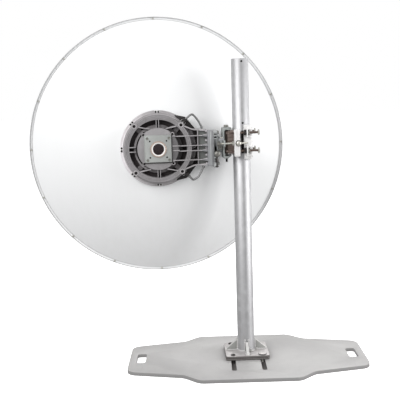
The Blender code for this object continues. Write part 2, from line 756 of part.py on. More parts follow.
def adapter_plate(tilt):
    """The square machined plate on the hub, in two steps. Returns the depth of its rear face."""
    face = HUB_V - HUB_BOSS_H - GAP
    plate = None
    for side, near, far in (
        (ADAPTER_SIDE, face - ADAPTER_STEP, face),
        (ADAPTER_TOP_SIDE, face - ADAPTER_T, face - ADAPTER_STEP + 0.001),
    ):
        low = (DISH_U - side / 2, near, DISH_Z - side / 2)
        high = (DISH_U + side / 2, far, DISH_Z + side / 2)
        if plate is None:
            plate = box("adapter_plate", low, high, MACHINED, tilt)
        else:
            join(plate, box("adapter_top", low, high, parent=tilt))
    start = (DISH_U, face - 0.05, DISH_Z)
    cut(plate, rod("guide_hole", start, 0.1, GUIDE_COLLAR_R + GAP, "Y", sides=48, parent=tilt))
    return face - ADAPTER_T


def feed(rear, tilt):
    """The round waveguide through plate and hub, and the cone and small reflector on its far end."""
    length = FEED_TIP_V - CONE_LENGTH - rear
    profile = [
        (GUIDE_COLLAR_R, GUIDE_COLLAR_T),
        (GUIDE_COLLAR_R, -ADAPTER_T),
        (GUIDE_R, -ADAPTER_T),
        (GUIDE_R, -length),
        (GUIDE_BORE_R, -length),
        (GUIDE_BORE_R, GUIDE_COLLAR_T),
    ]
    towards_viewer(turned("waveguide_tube", profile, 48, COPPER, tilt), rear)
    flare = CONE_LENGTH - GAP
    cone = turned(
        "feed_cone",
        [
            (0, flare),
            (SUB_REFLECTOR_R - 0.004, flare),
            (SUB_REFLECTOR_R - 0.006, flare - 0.006),
            (GUIDE_R, 0.008),
            (GUIDE_R, GAP),
            (GUIDE_BORE_R - GAP, GAP),
            (GUIDE_BORE_R - GAP, -CONE_PLUG),
            (0, -CONE_PLUG),
        ],
        32,
        RADOME,
        tilt,
    )
    cone.rotation_euler = (math.radians(-90), 0, 0)
    cone.location = (DISH_U, rear + length, DISH_Z)
    splash = rod("sub_reflector", (DISH_U, FEED_TIP_V, DISH_Z), SUB_REFLECTOR_T, SUB_REFLECTOR_R, "Y", MACHINED, tilt, 48)
    rounded = splash.modifiers.new("rounded_edges", "BEVEL")
    rounded.width = 0.001
    rounded.segments = 1


clear_scene()
PART = collection("parabolic_dish_antenna")
CUTTERS = collection("cutters")

STEEL = material("painted_steel", (0.62, 0.64, 0.65), 0.55, 0.6)
GALVANISED = material("galvanised_steel", (0.58, 0.59, 0.60), 0.38, 0.9)
ZINC = material("zinc_fasteners", (0.60, 0.60, 0.57), 0.32, 0.95)
ALUMINIUM = material("cast_aluminium", (0.50, 0.51, 0.50), 0.50, 0.85)
MACHINED = material("machined_aluminium", (0.74, 0.75, 0.75), 0.28, 0.95)
WHITE_PAINT = material("white_paint", (0.86, 0.87, 0.87), 0.40, 0.0)
RADOME = material("feed_plastic", (0.85, 0.85, 0.82), 0.5, 0.0)
COPPER = material("copper_guide", (0.62, 0.38, 0.22), 0.30, 0.95)

FOOT = axis_empty("foot_axis", None, (0, 0, 0))
FOOT.rotation_euler = (0, 0, FOOT_TURN)
HEAD = axis_empty("head_axis", None, (0, 0, 0))
HEAD.rotation_euler = (0, 0, HEAD_TURN)
AZIMUTH = axis_empty("azimuth_axis", HEAD, (AZIMUTH_U, 0, AXES_Z))
ELEVATION = axis_empty("elevation_axis", AZIMUTH, (AZIMUTH_U, ELEVATION_V, AXES_Z))

base_plate()
FOOT_TOP = foot_layers(FOOT)
foot_bolts(FOOT, FOOT_TOP)
gussets(FOOT, FOOT_TOP)
mast(FOOT_TOP)
clamp(HEAD)
yoke(AZIMUTH)
azimuth_hardware(HEAD)
elevation_parts(AZIMUTH, ELEVATION)
reflector(ELEVATION)
arm(hub(ELEVATION), ELEVATION)
handle("handle_upper", HANDLE_UPPER + [HANDLE_UPPER_END], ELEVATION)
handle("handle_lower", HANDLE_LOWER + [HANDLE_LOWER_END], ELEVATION)
feed(adapter_plate(ELEVATION), ELEVATION)
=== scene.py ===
import math

import bpy
from bpy.props import FloatProperty, FloatVectorProperty, IntProperty, PointerProperty
from mathutils import Matrix, Vector


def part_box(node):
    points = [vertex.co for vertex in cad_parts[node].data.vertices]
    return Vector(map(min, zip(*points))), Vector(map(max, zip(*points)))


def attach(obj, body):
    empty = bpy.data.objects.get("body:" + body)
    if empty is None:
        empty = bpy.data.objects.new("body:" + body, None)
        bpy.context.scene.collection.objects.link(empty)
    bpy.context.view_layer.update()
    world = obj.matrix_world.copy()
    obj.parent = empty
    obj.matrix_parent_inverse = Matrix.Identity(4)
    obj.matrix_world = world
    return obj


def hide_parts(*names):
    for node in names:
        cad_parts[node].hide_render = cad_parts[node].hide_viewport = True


bl_info = {
    "name": "Dish antenna dressing",
    "version": (1, 0, 0),
    "blender": (4, 5, 0),
    "location": "View3D > Sidebar > Antenna",
    "description": "Adds the cast, turned and painted surfaces of a mast-mounted dish antenna",
    "category": "Object",
}

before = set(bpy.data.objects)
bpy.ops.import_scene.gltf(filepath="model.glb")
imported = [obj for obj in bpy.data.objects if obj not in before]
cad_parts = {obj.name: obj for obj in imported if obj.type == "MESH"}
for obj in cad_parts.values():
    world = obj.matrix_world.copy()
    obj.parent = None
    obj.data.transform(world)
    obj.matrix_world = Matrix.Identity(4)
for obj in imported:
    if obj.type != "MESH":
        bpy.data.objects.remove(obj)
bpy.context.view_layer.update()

# The head stands turned on the mast. In its own frame x runs right, y away from the viewer, z up.
HEAD_TURN = math.radians(4.05)
HEAD = Matrix.Rotation(HEAD_TURN, 4, "Z")

# The mast's foot stands a little turned in the plate's slots.
FOOT = Matrix.Rotation(math.radians(1.9), 4, "Z")

# The hub's frame: x right, y up, z towards the viewer, zero on the hub's mounting face.
DISH_X = -0.2905
DISH_Z = 0.7635
HUB_Y = 0.0457
HUB = HEAD @ Matrix.Translation((DISH_X, HUB_Y, DISH_Z)) @ Matrix.Rotation(math.radians(90), 4, "X")

# Heights and radii in the hub's frame
RING_TOP = 0.0407
RIB_TOP = 0.0398
BOSS_TOP = 0.0447
ADAPTER_BACK = 0.0530

# Clamp, yoke and elevation drive, in the head's frame
AXES_Z = 0.772
AZIMUTH_X = -0.053
ELEVATION_Y = 0.004
CLAMP_BOLT_Y = 0.047
CLAMP_BOLT_ROWS = {"upper": 0.8135, "lower": 0.7515}
SCREW_Y = -0.047
SCREW_Z = 0.778

# Strength of the studio's light from all round; the camera itself sees plain white behind the part
STUDIO_GLOW = 0.50


# ---------------------------------------------------------------- modelling helpers


def rest():
    """Leaves edit mode and selects nothing."""
    if bpy.context.mode != "OBJECT":
        bpy.ops.object.mode_set(mode="OBJECT")
    bpy.ops.object.select_all(action="DESELECT")


def pick(*objs):
    """Selects only these, the first of them active."""
    rest()
    for obj in objs:
        obj.select_set(True)
    bpy.context.view_layer.objects.active = objs[0]
    return objs[0]


def choose_edges(obj, test):
    """Goes into edit mode with the edges whose two end points pass the test."""
    pick(obj)
    mesh = obj.data
    for group in (mesh.vertices, mesh.edges, mesh.polygons):
        group.foreach_set("select", [False] * len(group))
    for edge in mesh.edges:
        a, b = (mesh.vertices[i] for i in edge.vertices)
        if test(a.co, b.co):
            edge.select = True
            a.select = True
            b.select = True
    bpy.ops.object.mode_set(mode="EDIT")
    bpy.ops.mesh.select_mode(type="EDGE")


def soften(obj, width, segments=2, test=None):
    """Rounds all edges of a piece, or those that pass a test."""
    choose_edges(obj, test or (lambda a, b: True))
    bpy.ops.mesh.bevel(offset=width, segments=segments, affect="EDGES", clamp_overlap=True)
    rest()
    return obj


def set_into_mesh(obj, matrix=None):
    """Moves a piece by a matrix and puts its place into its mesh."""
    if matrix is not None:
        obj.matrix_world = matrix @ obj.matrix_world
    pick(obj)
    bpy.ops.object.transform_apply(location=True, rotation=True, scale=True)
    return obj


def block(low, high, edge=0.0, segments=2):
    """A block between two corners, its edges rounded."""
    rest()
    low, high = Vector(low), Vector(high)
    bpy.ops.mesh.primitive_cube_add(size=1, location=(low + high) / 2)
    obj = bpy.context.object
    obj.scale = high - low
    set_into_mesh(obj)
    return soften(obj, edge, segments) if edge else obj


def bar(start, end, radius, sides=32, tip=None, edge=0.0, segments=2):
    """A round bar, cone or hexagon from point to point, with the rims of its ends rounded."""
    rest()
    start, end = Vector(start), Vector(end)
    along = end - start
    bpy.ops.mesh.primitive_cone_add(
        vertices=sides,
        radius1=radius,
        radius2=radius if tip is None else tip,
        depth=along.length,
        location=(start + end) / 2,
        rotation=along.to_track_quat("Z", "Y").to_euler(),
    )
    obj = set_into_mesh(bpy.context.object)
    if not edge:
        return obj
    unit = along.normalized()

    def on_a_rim(a, b):
        p, q = (a - start).dot(unit), (b - start).dot(unit)
        return abs(p - q) < 1e-6 and (abs(p) < 1e-6 or abs(p - along.length) < 1e-6)

    return soften(obj, edge, segments, on_a_rim)


def chain(points, closed=False):
    """Draws a line of points by extruding one vertex; stays in edit mode with all of it selected."""
    rest()
    bpy.ops.mesh.primitive_plane_add(size=1, location=(0, 0, 0))
    obj = bpy.context.object
    bpy.ops.object.mode_set(mode="EDIT")
    bpy.ops.mesh.select_mode(type="VERT")
    bpy.ops.mesh.select_all(action="SELECT")
    bpy.ops.mesh.merge(type="CENTER")
    bpy.ops.transform.translate(value=Vector(points[0]))
    for before, after in zip(points, points[1:]):
        step = Vector(after) - Vector(before)
        bpy.ops.mesh.extrude_region_move(TRANSFORM_OT_translate={"value": step})
    if closed:
        rest()
        vertices = obj.data.vertices
        vertices.foreach_set("select", [v.index in (0, len(vertices) - 1) for v in vertices])
        pick(obj)
        bpy.ops.object.mode_set(mode="EDIT")
        bpy.ops.mesh.edge_face_add()
    bpy.ops.mesh.select_all(action="SELECT")
    return obj


def turned(profile, steps=96, closed=True):
    """A shape turned about Z from a profile of (radius, height)."""
    obj = chain([(r, 0, h) for r, h in profile], closed)
    bpy.ops.mesh.spin(steps=steps, angle=2 * math.pi, center=(0, 0, 0), axis=(0, 0, 1))
    bpy.ops.mesh.select_all(action="SELECT")
    bpy.ops.mesh.remove_doubles(threshold=0.00001)
    bpy.ops.mesh.normals_make_consistent(inside=False)
    rest()
    return obj


def plate(points, low, high, edge=0.0, segments=2):
    """A flat plate from its outline in XY, between two heights."""
    obj = chain([(x, y, low) for x, y in points])
    bpy.ops.mesh.edge_face_add()
    bpy.ops.mesh.extrude_region_move(TRANSFORM_OT_translate={"value": (0, 0, high - low)})
    bpy.ops.mesh.select_all(action="SELECT")
    bpy.ops.mesh.normals_make_consistent(inside=False)
    rest()
    if not edge:
        return obj

    def on_an_outline(a, b):
        return abs(a.z - b.z) < 1e-6

    return soften(obj, edge, segments, on_an_outline)


def arc(centre, radius, start, end, steps):
    """Points on an arc, angles in degrees."""
    turns = [math.radians(start + (end - start) * i / steps) for i in range(steps + 1)]
    return [(centre[0] + radius * math.cos(t), centre[1] + radius * math.sin(t)) for t in turns]


def rounded_box_outline(width, depth, radius, steps=6):
    """A centred oblong with round corners."""
    points = []
    for quarter, (x, y) in enumerate(((1, 1), (-1, 1), (-1, -1), (1, -1))):
        centre = (x * (width / 2 - radius), y * (depth / 2 - radius))
        points += arc(centre, radius, 90 * quarter, 90 * quarter + 90, steps)
    return points


def modifier(obj, kind, **settings):
    """Adds a modifier to a piece and applies it."""
    pick(obj)
    bpy.ops.object.modifier_add(type=kind)
    made = obj.modifiers[-1]
    for name, value in settings.items():
        setattr(made, name, value)
    bpy.ops.object.modifier_apply(modifier=made.name)
    return obj


def cut(obj, *tools):
    """Cuts the tools' shapes out of a piece, and melts the shapes that it was joined from."""
    for tool in tools:
        modifier(obj, "BOOLEAN", operation="DIFFERENCE", solver="EXACT", object=tool, use_self=True)
        pick(tool)
        bpy.ops.object.delete()
    return obj


def join(*objs):
    """Joins several shapes into one piece."""
    pick(*objs)
    if len(objs) > 1:
        bpy.ops.object.join()
    return objs[0]


def copy(obj, matrix):
    """A copy of a shape with its own mesh, moved by a matrix."""
    pick(obj)
    bpy.ops.object.duplicate(linked=False)
    made = bpy.context.object
    return set_into_mesh(made, matrix)


def done(obj, name, body, finish, replaced=(), angle=40, matrix=None):
    """Names a piece, gives it its finish and hangs it on its body."""
    if matrix is not None:
        set_into_mesh(obj, matrix)
    pick(obj)
    bpy.ops.object.shade_smooth_by_angle(angle=math.radians(angle))
    obj.name = name
    obj.data.name = name
    obj.data.materials.clear()
    obj.data.materials.append(FINISHES[finish])
    if replaced:
        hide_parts(*replaced)
    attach(obj, body)
    rest()
    return obj


# ---------------------------------------------------------------- finishes


class Wire:
    """A shader socket that takes part in sums."""

    def __init__(self, tree, socket):
        self.tree = tree
        self.socket = socket

    def maths(self, operation, *values):
        node = self.tree.nodes.new("ShaderNodeMath")
        node.operation = operation
        for slot, value in zip(node.inputs, values):
            if isinstance(value, Wire):
                self.tree.links.new(value.socket, slot)
            else:
                slot.default_value = value
        return Wire(self.tree, node.outputs[0])

    def __add__(self, other):
        return self.maths("ADD", self, other)

    def __radd__(self, other):
        return self.maths("ADD", other, self)

    def __sub__(self, other):
        return self.maths("SUBTRACT", self, other)

    def __rsub__(self, other):
        return self.maths("SUBTRACT", other, self)

    def __mul__(self, other):
        return self.maths("MULTIPLY", self, other)

    def __rmul__(self, other):
        return self.maths("MULTIPLY", other, self)

    def __truediv__(self, other):
        return self.maths("DIVIDE", self, other)

    def __pow__(self, other):
        return self.maths("POWER", self, other)

    def above(self, level, width):
        """0 below the level, 1 above it, with a soft step of this width."""
        ready = (self - (level - width / 2)) * (1 / width)
        return ready.maths("MINIMUM", ready.maths("MAXIMUM", ready, 0.0), 1.0)

    def at_most(self, level):
        return self.maths("MINIMUM", self, level)

    def at_least(self, level):
        return self.maths("MAXIMUM", self, level)


class Finish:
    """One material and the nodes that make it."""

    def __init__(self, name, colour):
        self.material = bpy.data.materials.new(name)
        self.material.use_nodes = True
        self.material.diffuse_color = (*colour, 1.0)
        self.tree = self.material.node_tree
        self.shader = self.tree.nodes["Principled BSDF"]
        self.place = self.node("ShaderNodeTexCoord", output="Object")

    def node(self, kind, settings=None, inputs=None, output=0):
        """A node of any type: its settings come first, then its sockets' values or links."""
        made = self.tree.nodes.new(kind)
        for name, value in (settings or {}).items():
            if name == "stops":
                elements = made.color_ramp.elements
                while len(elements) < len(value):
                    elements.new(0.5)
                for element, (position, shade) in zip(elements, value):
                    element.position = position
                    element.color = shade if len(shade) == 4 else (*shade, 1.0)
            else:
                setattr(made, name, value)
        for name, value in (inputs or {}).items():
            socket = made.inputs[name]
            if isinstance(value, Wire):
                self.tree.links.new(value.socket, socket)
            else:
                socket.default_value = value
        return Wire(self.tree, made.outputs[output])

    def stretched(self, scale=(1, 1, 1), turn=(0, 0, 0), offset=(0, 0, 0)):
        """The piece's own coordinates, turned, moved and stretched."""
        return self.node(
            "ShaderNodeMapping",
            inputs={"Vector": self.place, "Scale": scale, "Rotation": turn, "Location": offset},
        )

    def noise(self, scale, detail=4.0, roughness=0.55, vector=None, distortion=0.0):
        return self.node(
            "ShaderNodeTexNoise",
            inputs={
                "Vector": vector or self.place,
                "Scale": scale,
                "Detail": detail,
                "Roughness": roughness,
                "Distortion": distortion,
            },
        )

    def cells(self, scale, vector=None, feature="F1", output="Distance", randomness=1.0):
        return self.node(
            "ShaderNodeTexVoronoi",
            {"feature": feature},
            {"Vector": vector or self.place, "Scale": scale, "Randomness": randomness},
            output,
        )

    def axes(self, vector=None):
        """x, y and z of a coordinate as three wires."""
        split = self.tree.nodes.new("ShaderNodeSeparateXYZ")
        self.tree.links.new((vector or self.place).socket, split.inputs[0])
        return [Wire(self.tree, out) for out in split.outputs]

    def mixed(self, factor, a, b, blend="MIX"):
        """Two colours, mixed by a factor."""
        made = self.tree.nodes.new("ShaderNodeMix")
        made.data_type = "RGBA"
        made.blend_type = blend
        made.clamp_factor = True
        for index, value in ((0, factor), (6, a), (7, b)):
            if isinstance(value, Wire):
                self.tree.links.new(value.socket, made.inputs[index])
            elif index == 0:
                made.inputs[index].default_value = value
            else:
                made.inputs[index].default_value = (*value, 1.0)
        return Wire(self.tree, made.outputs[2])

    def relief(self, height, strength, distance, under=None):
        inputs = {"Height": height, "Strength": strength, "Distance": distance}
        if under:
            inputs["Normal"] = under
        return self.node("ShaderNodeBump", inputs=inputs)

    def surface(self, colour, roughness, metallic=0.0, relief=None, **fixed):
        """Feeds the shader. fixed are sockets that stay the same all over."""
        for name, value in (("Base Color", colour), ("Roughness", roughness), ("Metallic", metallic)):
            if isinstance(value, Wire):
                self.tree.links.new(value.socket, self.shader.inputs[name])
            elif name == "Base Color":
                self.shader.inputs[name].default_value = (*value, 1.0)
            else:
                self.shader.inputs[name].default_value = value
        if relief:
            self.tree.links.new(relief.socket, self.shader.inputs["Normal"])
        for name, value in fixed.items():
            self.shader.inputs[name.replace("_", " ")].default_value = value
        return self.material


def tint(colour, factor):
    """A lighter or darker version of a colour."""
    return tuple(min(1.0, c * factor) for c in colour)


def dish_paint(colour):
    """White powder coat: orange peel, a thin dusting, greyer under the hub, and painted shade lines on the rim's edges.
    """
    f = Finish("dish_white_paint", colour)
    x, y, z = f.axes()
    across, up, height = f.axes(hub_place(f))
    radius = (across * across + up * up) ** 0.5
    broad = f.noise(3.5, 5.0, 0.6)
    streaks = f.noise(1.0, 6.0, 0.62, f.stretched((42, 42, 2.2)), 0.3)
    specks = f.noise(900.0, 2.0, 0.5)
    peel = f.noise(420.0, 2.0, 0.45)
    lower = 1 - z.above(0.62, 0.5)
    dirt = (streaks.above(0.58, 0.30) * lower * 0.10 + broad.above(0.58, 0.30) * 0.06).at_most(1.0)
    base = f.mixed(dirt, colour, (0.66, 0.655, 0.63))
    base = f.mixed(specks.above(0.72, 0.06) * 0.18, base, (0.50, 0.49, 0.46))
    # Painted shade: grey lines on the rim's outer edge and where the flat rim meets the dish.
    edge = radius.above(0.4655, 0.0016)
    fold_shade_line = radius.above(0.4568, 0.0016) * (1 - radius.above(0.4598, 0.0016))
    base = f.mixed((edge * 0.75 + fold_shade_line * 0.55) * (0.75 + broad * 0.4), base, (0.36, 0.36, 0.36))
    rough = 0.34 + broad * 0.10 + dirt * 0.18
    bumps = f.relief(peel, 0.10, 0.0004)
    return f.surface(base, rough, 0.0, bumps, Coat_Weight=0.15, Coat_Roughness=0.25, Specular_IOR_Level=0.45)


def hub_place(f):
    """The piece's own coordinates, moved and turned into the hub's frame."""
    return f.node(
        "ShaderNodeMapping",
        {"vector_type": "TEXTURE"},
        {"Vector": f.place, "Location": HUB.translation, "Rotation": (math.radians(90), 0, HEAD_TURN)},
    )


def cast_paint(name, colour, dirt_colour, grain=1.0, pocket=None, tones_and_light=()):
    """Grey paint on sand-cast aluminium: pebbled skin, chipped high spots, grime, and painted shade deep in the
    pockets.

    pocket is (inner radius, outer radius, floor, brim) in the hub's frame, where painted shade lies deep.
    tones are (inner radius, outer radius, x where it starts, x where it is full, factor) there, for
    zones painted lighter or darker: some the paint's own tone, the others painted light and shade.
    """
    f = Finish(name, colour)
    cloud = f.noise(14.0, 6.0, 0.62)
    patches = f.noise(48.0, 5.0, 0.60, distortion=0.4)
    pebbles = f.cells(620.0 / grain)
    grit = f.noise(1500.0 / grain, 3.0, 0.6)
    runs = f.noise(1.0, 5.0, 0.6, f.stretched((75, 75, 7)))
    grime = (cloud.above(0.52, 0.30) * 0.55 + runs.above(0.60, 0.18) * 0.35).at_most(1.0)
    chips = f.noise(230.0, 4.0, 0.7).above(0.735, 0.025)
    base = f.mixed(patches.above(0.5, 0.6) * 0.5, colour, tint(colour, 0.84))
    base = f.mixed(grime * 0.5, base, dirt_colour)
    base = f.mixed(chips * 0.65, base, (0.62, 0.62, 0.60))
    rough = 0.46 + patches * 0.16 + grime * 0.10 - chips * 0.18
    if pocket:
        inner, outer, floor, brim = pocket
        across, up, height = f.axes(hub_place(f))
        radius = (across * across + up * up) ** 0.5
        within = radius.above(inner, 0.0015) * (1 - radius.above(outer, 0.0015))
        # Zones painted lighter or darker: some the paint's own tone, the others painted light and shade.
        for low, high, start, full, factor in tones_and_light:
            zone = radius.above(low, 0.0012) * (1 - radius.above(high, 0.0012))
            zone = zone * ((across - start) * (1 / (full - start))).at_least(0.0).at_most(1.0)
            base = f.mixed(zone, base, f.mixed(1.0, base, (factor, factor, factor), "MULTIPLY"))
        # Painted shade: near black deep in the pocket, fading out towards the brim.
        depth = (1 - height.above((floor + brim) / 2, brim - floor)) * within
        base = f.mixed(depth * (0.86 + cloud * 0.2), base, (0.038, 0.030, 0.031))
        rough = rough + depth * 0.2
    bumps = f.relief(pebbles * 0.6 + grit * 0.4, 0.22, 0.0005)
    bumps = f.relief(f.noise(36.0, 3.0, 0.5), 0.12, 0.0025, bumps)
    return f.surface(base, rough, 0.10 + chips * 0.55, bumps, Specular_IOR_Level=0.45)


def galvanised(colour):
    """Hot-dip zinc: spangle of small crystals, vertical drain runs and white bloom low down."""
    f = Finish("galvanised_zinc", colour)
    x, y, z = f.axes()
    warped = f.stretched((1, 1, 0.72))
    crystals = f.cells(105.0, warped, output="Color")
    crystal_tone = f.axes(crystals)[0]
    borders = f.cells(105.0, warped, "DISTANCE_TO_EDGE")
    fine = f.noise(420.0, 4.0, 0.62)
    broad = f.noise(9.0, 5.0, 0.6)
    runs = f.noise(1.0, 6.0, 0.6, f.stretched((120, 120, 3.2)), 0.2)
    bloom = (f.noise(26.0, 6.0, 0.66).above(0.60, 0.14) * (1.25 - z).at_least(0.2)).at_most(1.0)
    base = f.mixed(crystal_tone, tint(colour, 0.95), tint(colour, 1.05))
    base = f.mixed(broad * 0.30, base, tint(colour, 0.86))
    base = f.mixed(runs.above(0.60, 0.16) * 0.25, base, tint(colour, 0.72))
    base = f.mixed(bloom * 0.20, base, (0.66, 0.67, 0.68))
    rough = 0.45 + crystal_tone * 0.06 + fine * 0.06 + bloom * 0.12
    metal = 0.85 - bloom * 0.20
    bumps = f.relief(crystal_tone * 0.5 + borders.at_most(0.08) * 3.0 + fine * 0.4, 0.10, 0.0004)
    bumps = f.relief(runs, 0.10, 0.0010, bumps)
    return f.surface(base, rough, metal, bumps)


def steel_paint(colour):
    """Light grey paint on thick plate: roller texture, scuffs and rubbed places, dark cut edges, and painted shade on
    the slots' walls.
    """
    f = Finish("plate_grey_paint", colour)
    x, y, z = f.axes()
    broad = f.noise(5.0, 6.0, 0.62)
    cloud = f.noise(22.0, 6.0, 0.62, distortion=0.3)
    roller = f.noise(520.0, 3.0, 0.55)
    scratch = f.noise(1.0, 3.0, 0.5, f.stretched((14, 320, 40), (0, 0, 0.32)))
    scratch_two = f.noise(1.0, 3.0, 0.5, f.stretched((300, 11, 40), (0, 0, -0.21)))
    scuffs = (scratch.above(0.70, 0.03) + scratch_two.above(0.71, 0.03)).at_most(1.0) * broad.above(0.50, 0.2)
    rubbed = f.noise(64.0, 6.0, 0.7).above(0.70, 0.06) * cloud.above(0.52, 0.12)
    side = 1 - z.above(0.0118, 0.0012)
    # The slots' walls: dark cut steel, painted darker still as shade in the slots, darkest in the right-hand slot.
    off_slot = (x.maths("ABSOLUTE", x) - 0.052).maths("ABSOLUTE", x.maths("ABSOLUTE", x) - 0.052)
    slot = (1 - off_slot.above(0.0115, 0.0008)) * side * (y + 0.24).above(0.02, 0.005)
    base = f.mixed(cloud * 0.5, colour, tint(colour, 0.87))
    base = f.mixed(broad.above(0.52, 0.25) * 0.25, base, (0.60, 0.60, 0.58))
    base = f.mixed(scuffs * 0.40, base, tint(colour, 0.62))
    base = f.mixed(rubbed * 0.55, base, (0.42, 0.41, 0.40))
    base = f.mixed(side * 0.70, base, tint(colour, 0.58))
    base = f.mixed(slot, base, f.mixed(x.above(0, 0.01), (0.150, 0.146, 0.140), (0.050, 0.045, 0.044)))
    rough = 0.50 + cloud * 0.14 + rubbed * 0.06 - scuffs * 0.12
    bumps = f.relief(roller + scuffs * -0.6, 0.12, 0.0004)
    cut_lines = f.noise(1.0, 2.0, 0.5, f.stretched((420, 420, 12)))
    bumps = f.relief(cut_lines * side, 0.35, 0.0006, bumps)
    return f.surface(base, rough, 0.12 + rubbed * 0.4, bumps, Specular_IOR_Level=0.45)


def foot_steel(colour):
    """The mast foot's two layers: pale tops showing wear, dark sawn edges, and painted shadow in the seam between the
    layers and low on the lower layer.
    """
    f = Finish("foot_steel", colour)
    x, y, z = f.axes()
    cloud = f.noise(30.0, 6.0, 0.62, distortion=0.3)
    grit = f.noise(420.0, 4.0, 0.6)
    spatter = f.noise(150.0, 4.0, 0.7).above(0.70, 0.05)
    sawn = f.noise(1.0, 3.0, 0.5, f.stretched((380, 380, 30)))
    side = 1 - z.above(0.0278, 0.0009)
    # Painted shadow: near black in the seam between the layers and low on the lower layer, where it sits on the plate.
    seam = 1 - (z - 0.0207).maths("ABSOLUTE", z - 0.0207).above(0.0009, 0.0006)
    low = 1 - z.above(0.0146, 0.0016)
    base = f.mixed(cloud * 0.6, tint(colour, 1.10), tint(colour, 0.80))
    base = f.mixed(spatter * 0.5, base, (0.80, 0.79, 0.76))
    base = f.mixed(side * (0.80 + sawn * 0.2), base, (0.13, 0.12, 0.115))
    base = f.mixed((seam + low).at_most(1.0) * 0.9, base, (0.025, 0.022, 0.020))
    rough = 0.42 + cloud * 0.16 + side * 0.2
    bumps = f.relief(grit + spatter * 1.5, 0.16, 0.0005)
    bumps = f.relief(sawn * side, 0.3, 0.0005, bumps)
    return f.surface(base, rough, 0.35, bumps)


def fastener_zinc(name, colour, bright):
    """Plated fasteners: turned ends, handling marks and a little dull bloom."""
    f = Finish(name, colour)
    cloud = f.noise(95.0, 5.0, 0.62)
    fine = f.noise(900.0, 3.0, 0.6)
    pits = f.noise(330.0, 4.0, 0.7).above(0.68, 0.06)
    base = f.mixed(cloud, tint(colour, 0.78), tint(colour, 1.10))
    base = f.mixed(pits * 0.55, base, (0.20, 0.19, 0.17))
    rough = (0.42 - bright) + cloud * 0.16 + pits * 0.2
    return f.surface(base, rough, 0.95 - pits * 0.4, f.relief(fine + pits * -1.5, 0.10, 0.0003))


def black_oxide(colour):
    """Blackened steel: nearly black, oily, with rubbed bright spots on the edges."""
    f = Finish("black_oxide", colour)
    cloud = f.noise(120.0, 5.0, 0.62)
    rubbed = f.noise(420.0, 4.0, 0.7).above(0.66, 0.08)
    base = f.mixed(cloud, colour, tint(colour, 2.2))
    base = f.mixed(rubbed * 0.6, base, (0.45, 0.43, 0.42))
    rough = 0.22 + cloud * 0.16 + rubbed * 0.1
    return f.surface(base, rough, 0.70, f.relief(cloud + rubbed, 0.12, 0.0003), Specular_IOR_Level=0.6)


def milled(name, colour, ledge=0.0):
    """Milled plate: fine straight cutter lines; where a ledge is named, painted shade darker towards the right and a
    painted shadow on its right and lower ledge.
    """
    f = Finish(name, colour)
    lines = f.noise(1.0, 4.0, 0.6, f.stretched((60, 60, 2600), (0, 0, -HEAD_TURN)))
    ripple = f.node(
        "ShaderNodeTexWave",
        {"wave_type": "BANDS", "bands_direction": "Z"},
        {"Vector": f.place, "Scale": 95.0, "Distortion": 0.6, "Detail": 2.0},
        output="Fac",
    )
    cloud = f.noise(30.0, 5.0, 0.6)
    base = f.mixed(lines, tint(colour, 0.86), tint(colour, 1.06))
    base = f.mixed(cloud.above(0.55, 0.25) * 0.30, base, tint(colour, 0.70))
    if ledge:
        across, up, height = f.axes(hub_place(f))
        # Painted shade: darker towards the right.
        base = f.mixed(across.above(0.010, 0.080) * 0.65, base, tint(colour, 0.70))
        # Painted shadow: near black on the right and lower sides below the ledge's height.
        sides = (across.above(0.0448, 0.0006) + (1 - up.above(-0.0448, 0.0006))).at_most(1.0)
        base = f.mixed(sides * (1 - height.above(ledge, 0.0006)) * 0.92, base, (0.035, 0.032, 0.032))
    rough = 0.40 + lines * 0.14 + cloud * 0.10
    return f.surface(base, rough, 0.45, f.relief(lines + ripple * 0.35, 0.10, 0.0003))


def turned_copper(name, colour, darker):
    """Turned copper alloy: rings from the tool, brown tarnish in patches."""
    f = Finish(name, colour)
    across, up, height = f.axes(hub_place(f))
    radius = (across * across + up * up) ** 0.5
    rings = f.node("ShaderNodeTexNoise", {"noise_dimensions": "1D"}, {"W": radius, "Scale": 2600.0, "Detail": 2.0})
    tarnish = f.noise(60.0, 6.0, 0.65)
    base = f.mixed(rings, tint(colour, 0.82), tint(colour, 1.10))
    base = f.mixed(tarnish.above(0.50, 0.3) * darker, base, tint(colour, 0.35))
    rough = 0.28 + rings * 0.10 + tarnish * 0.18
    return f.surface(base, rough, 0.92, f.relief(rings, 0.18, 0.0003))


def bore_shade_lining(colour):
    """The smooth drawn inside of the waveguide, painted dark brown-grey as shade, with lengthwise draw marks."""
    f = Finish("bore_shade_lining", colour)
    draws = f.noise(1.0, 3.0, 0.5, f.stretched((900, 12, 900), (0, 0, -HEAD_TURN)))
    cloud = f.noise(80.0, 4.0, 0.6)
    base = f.mixed(cloud * 0.5, colour, tint(colour, 0.80))
    return f.surface(base, 0.06 + draws * 0.04, 1.0, f.relief(draws, 0.02, 0.0001))


def plain_plastic(colour):
    """Off-white dielectric: satin, with a faint mottle and fine tool rings."""
    f = Finish("feed_dielectric", colour)
    cloud = f.noise(40.0, 4.0, 0.55)
    fine = f.noise(700.0, 3.0, 0.5)
    base = f.mixed(cloud * 0.5, colour, tint(colour, 0.88))
    return f.surface(base, 0.42 + cloud * 0.12, 0.0, f.relief(fine, 0.08, 0.0003), Subsurface_Weight=0.05)


def weld_metal(name, colour):
    """Weld beads under zinc: ripples, spatter and a duller tone."""
    f = Finish(name, colour)
    ripple = f.cells(260.0)
    cloud = f.noise(70.0, 5.0, 0.6)
    base = f.mixed(cloud, tint(colour, 0.75), tint(colour, 1.12))
    rough = 0.40 + cloud * 0.22
    return f.surface(base, rough, 0.25, f.relief(ripple + cloud * 0.5, 0.5, 0.0012))


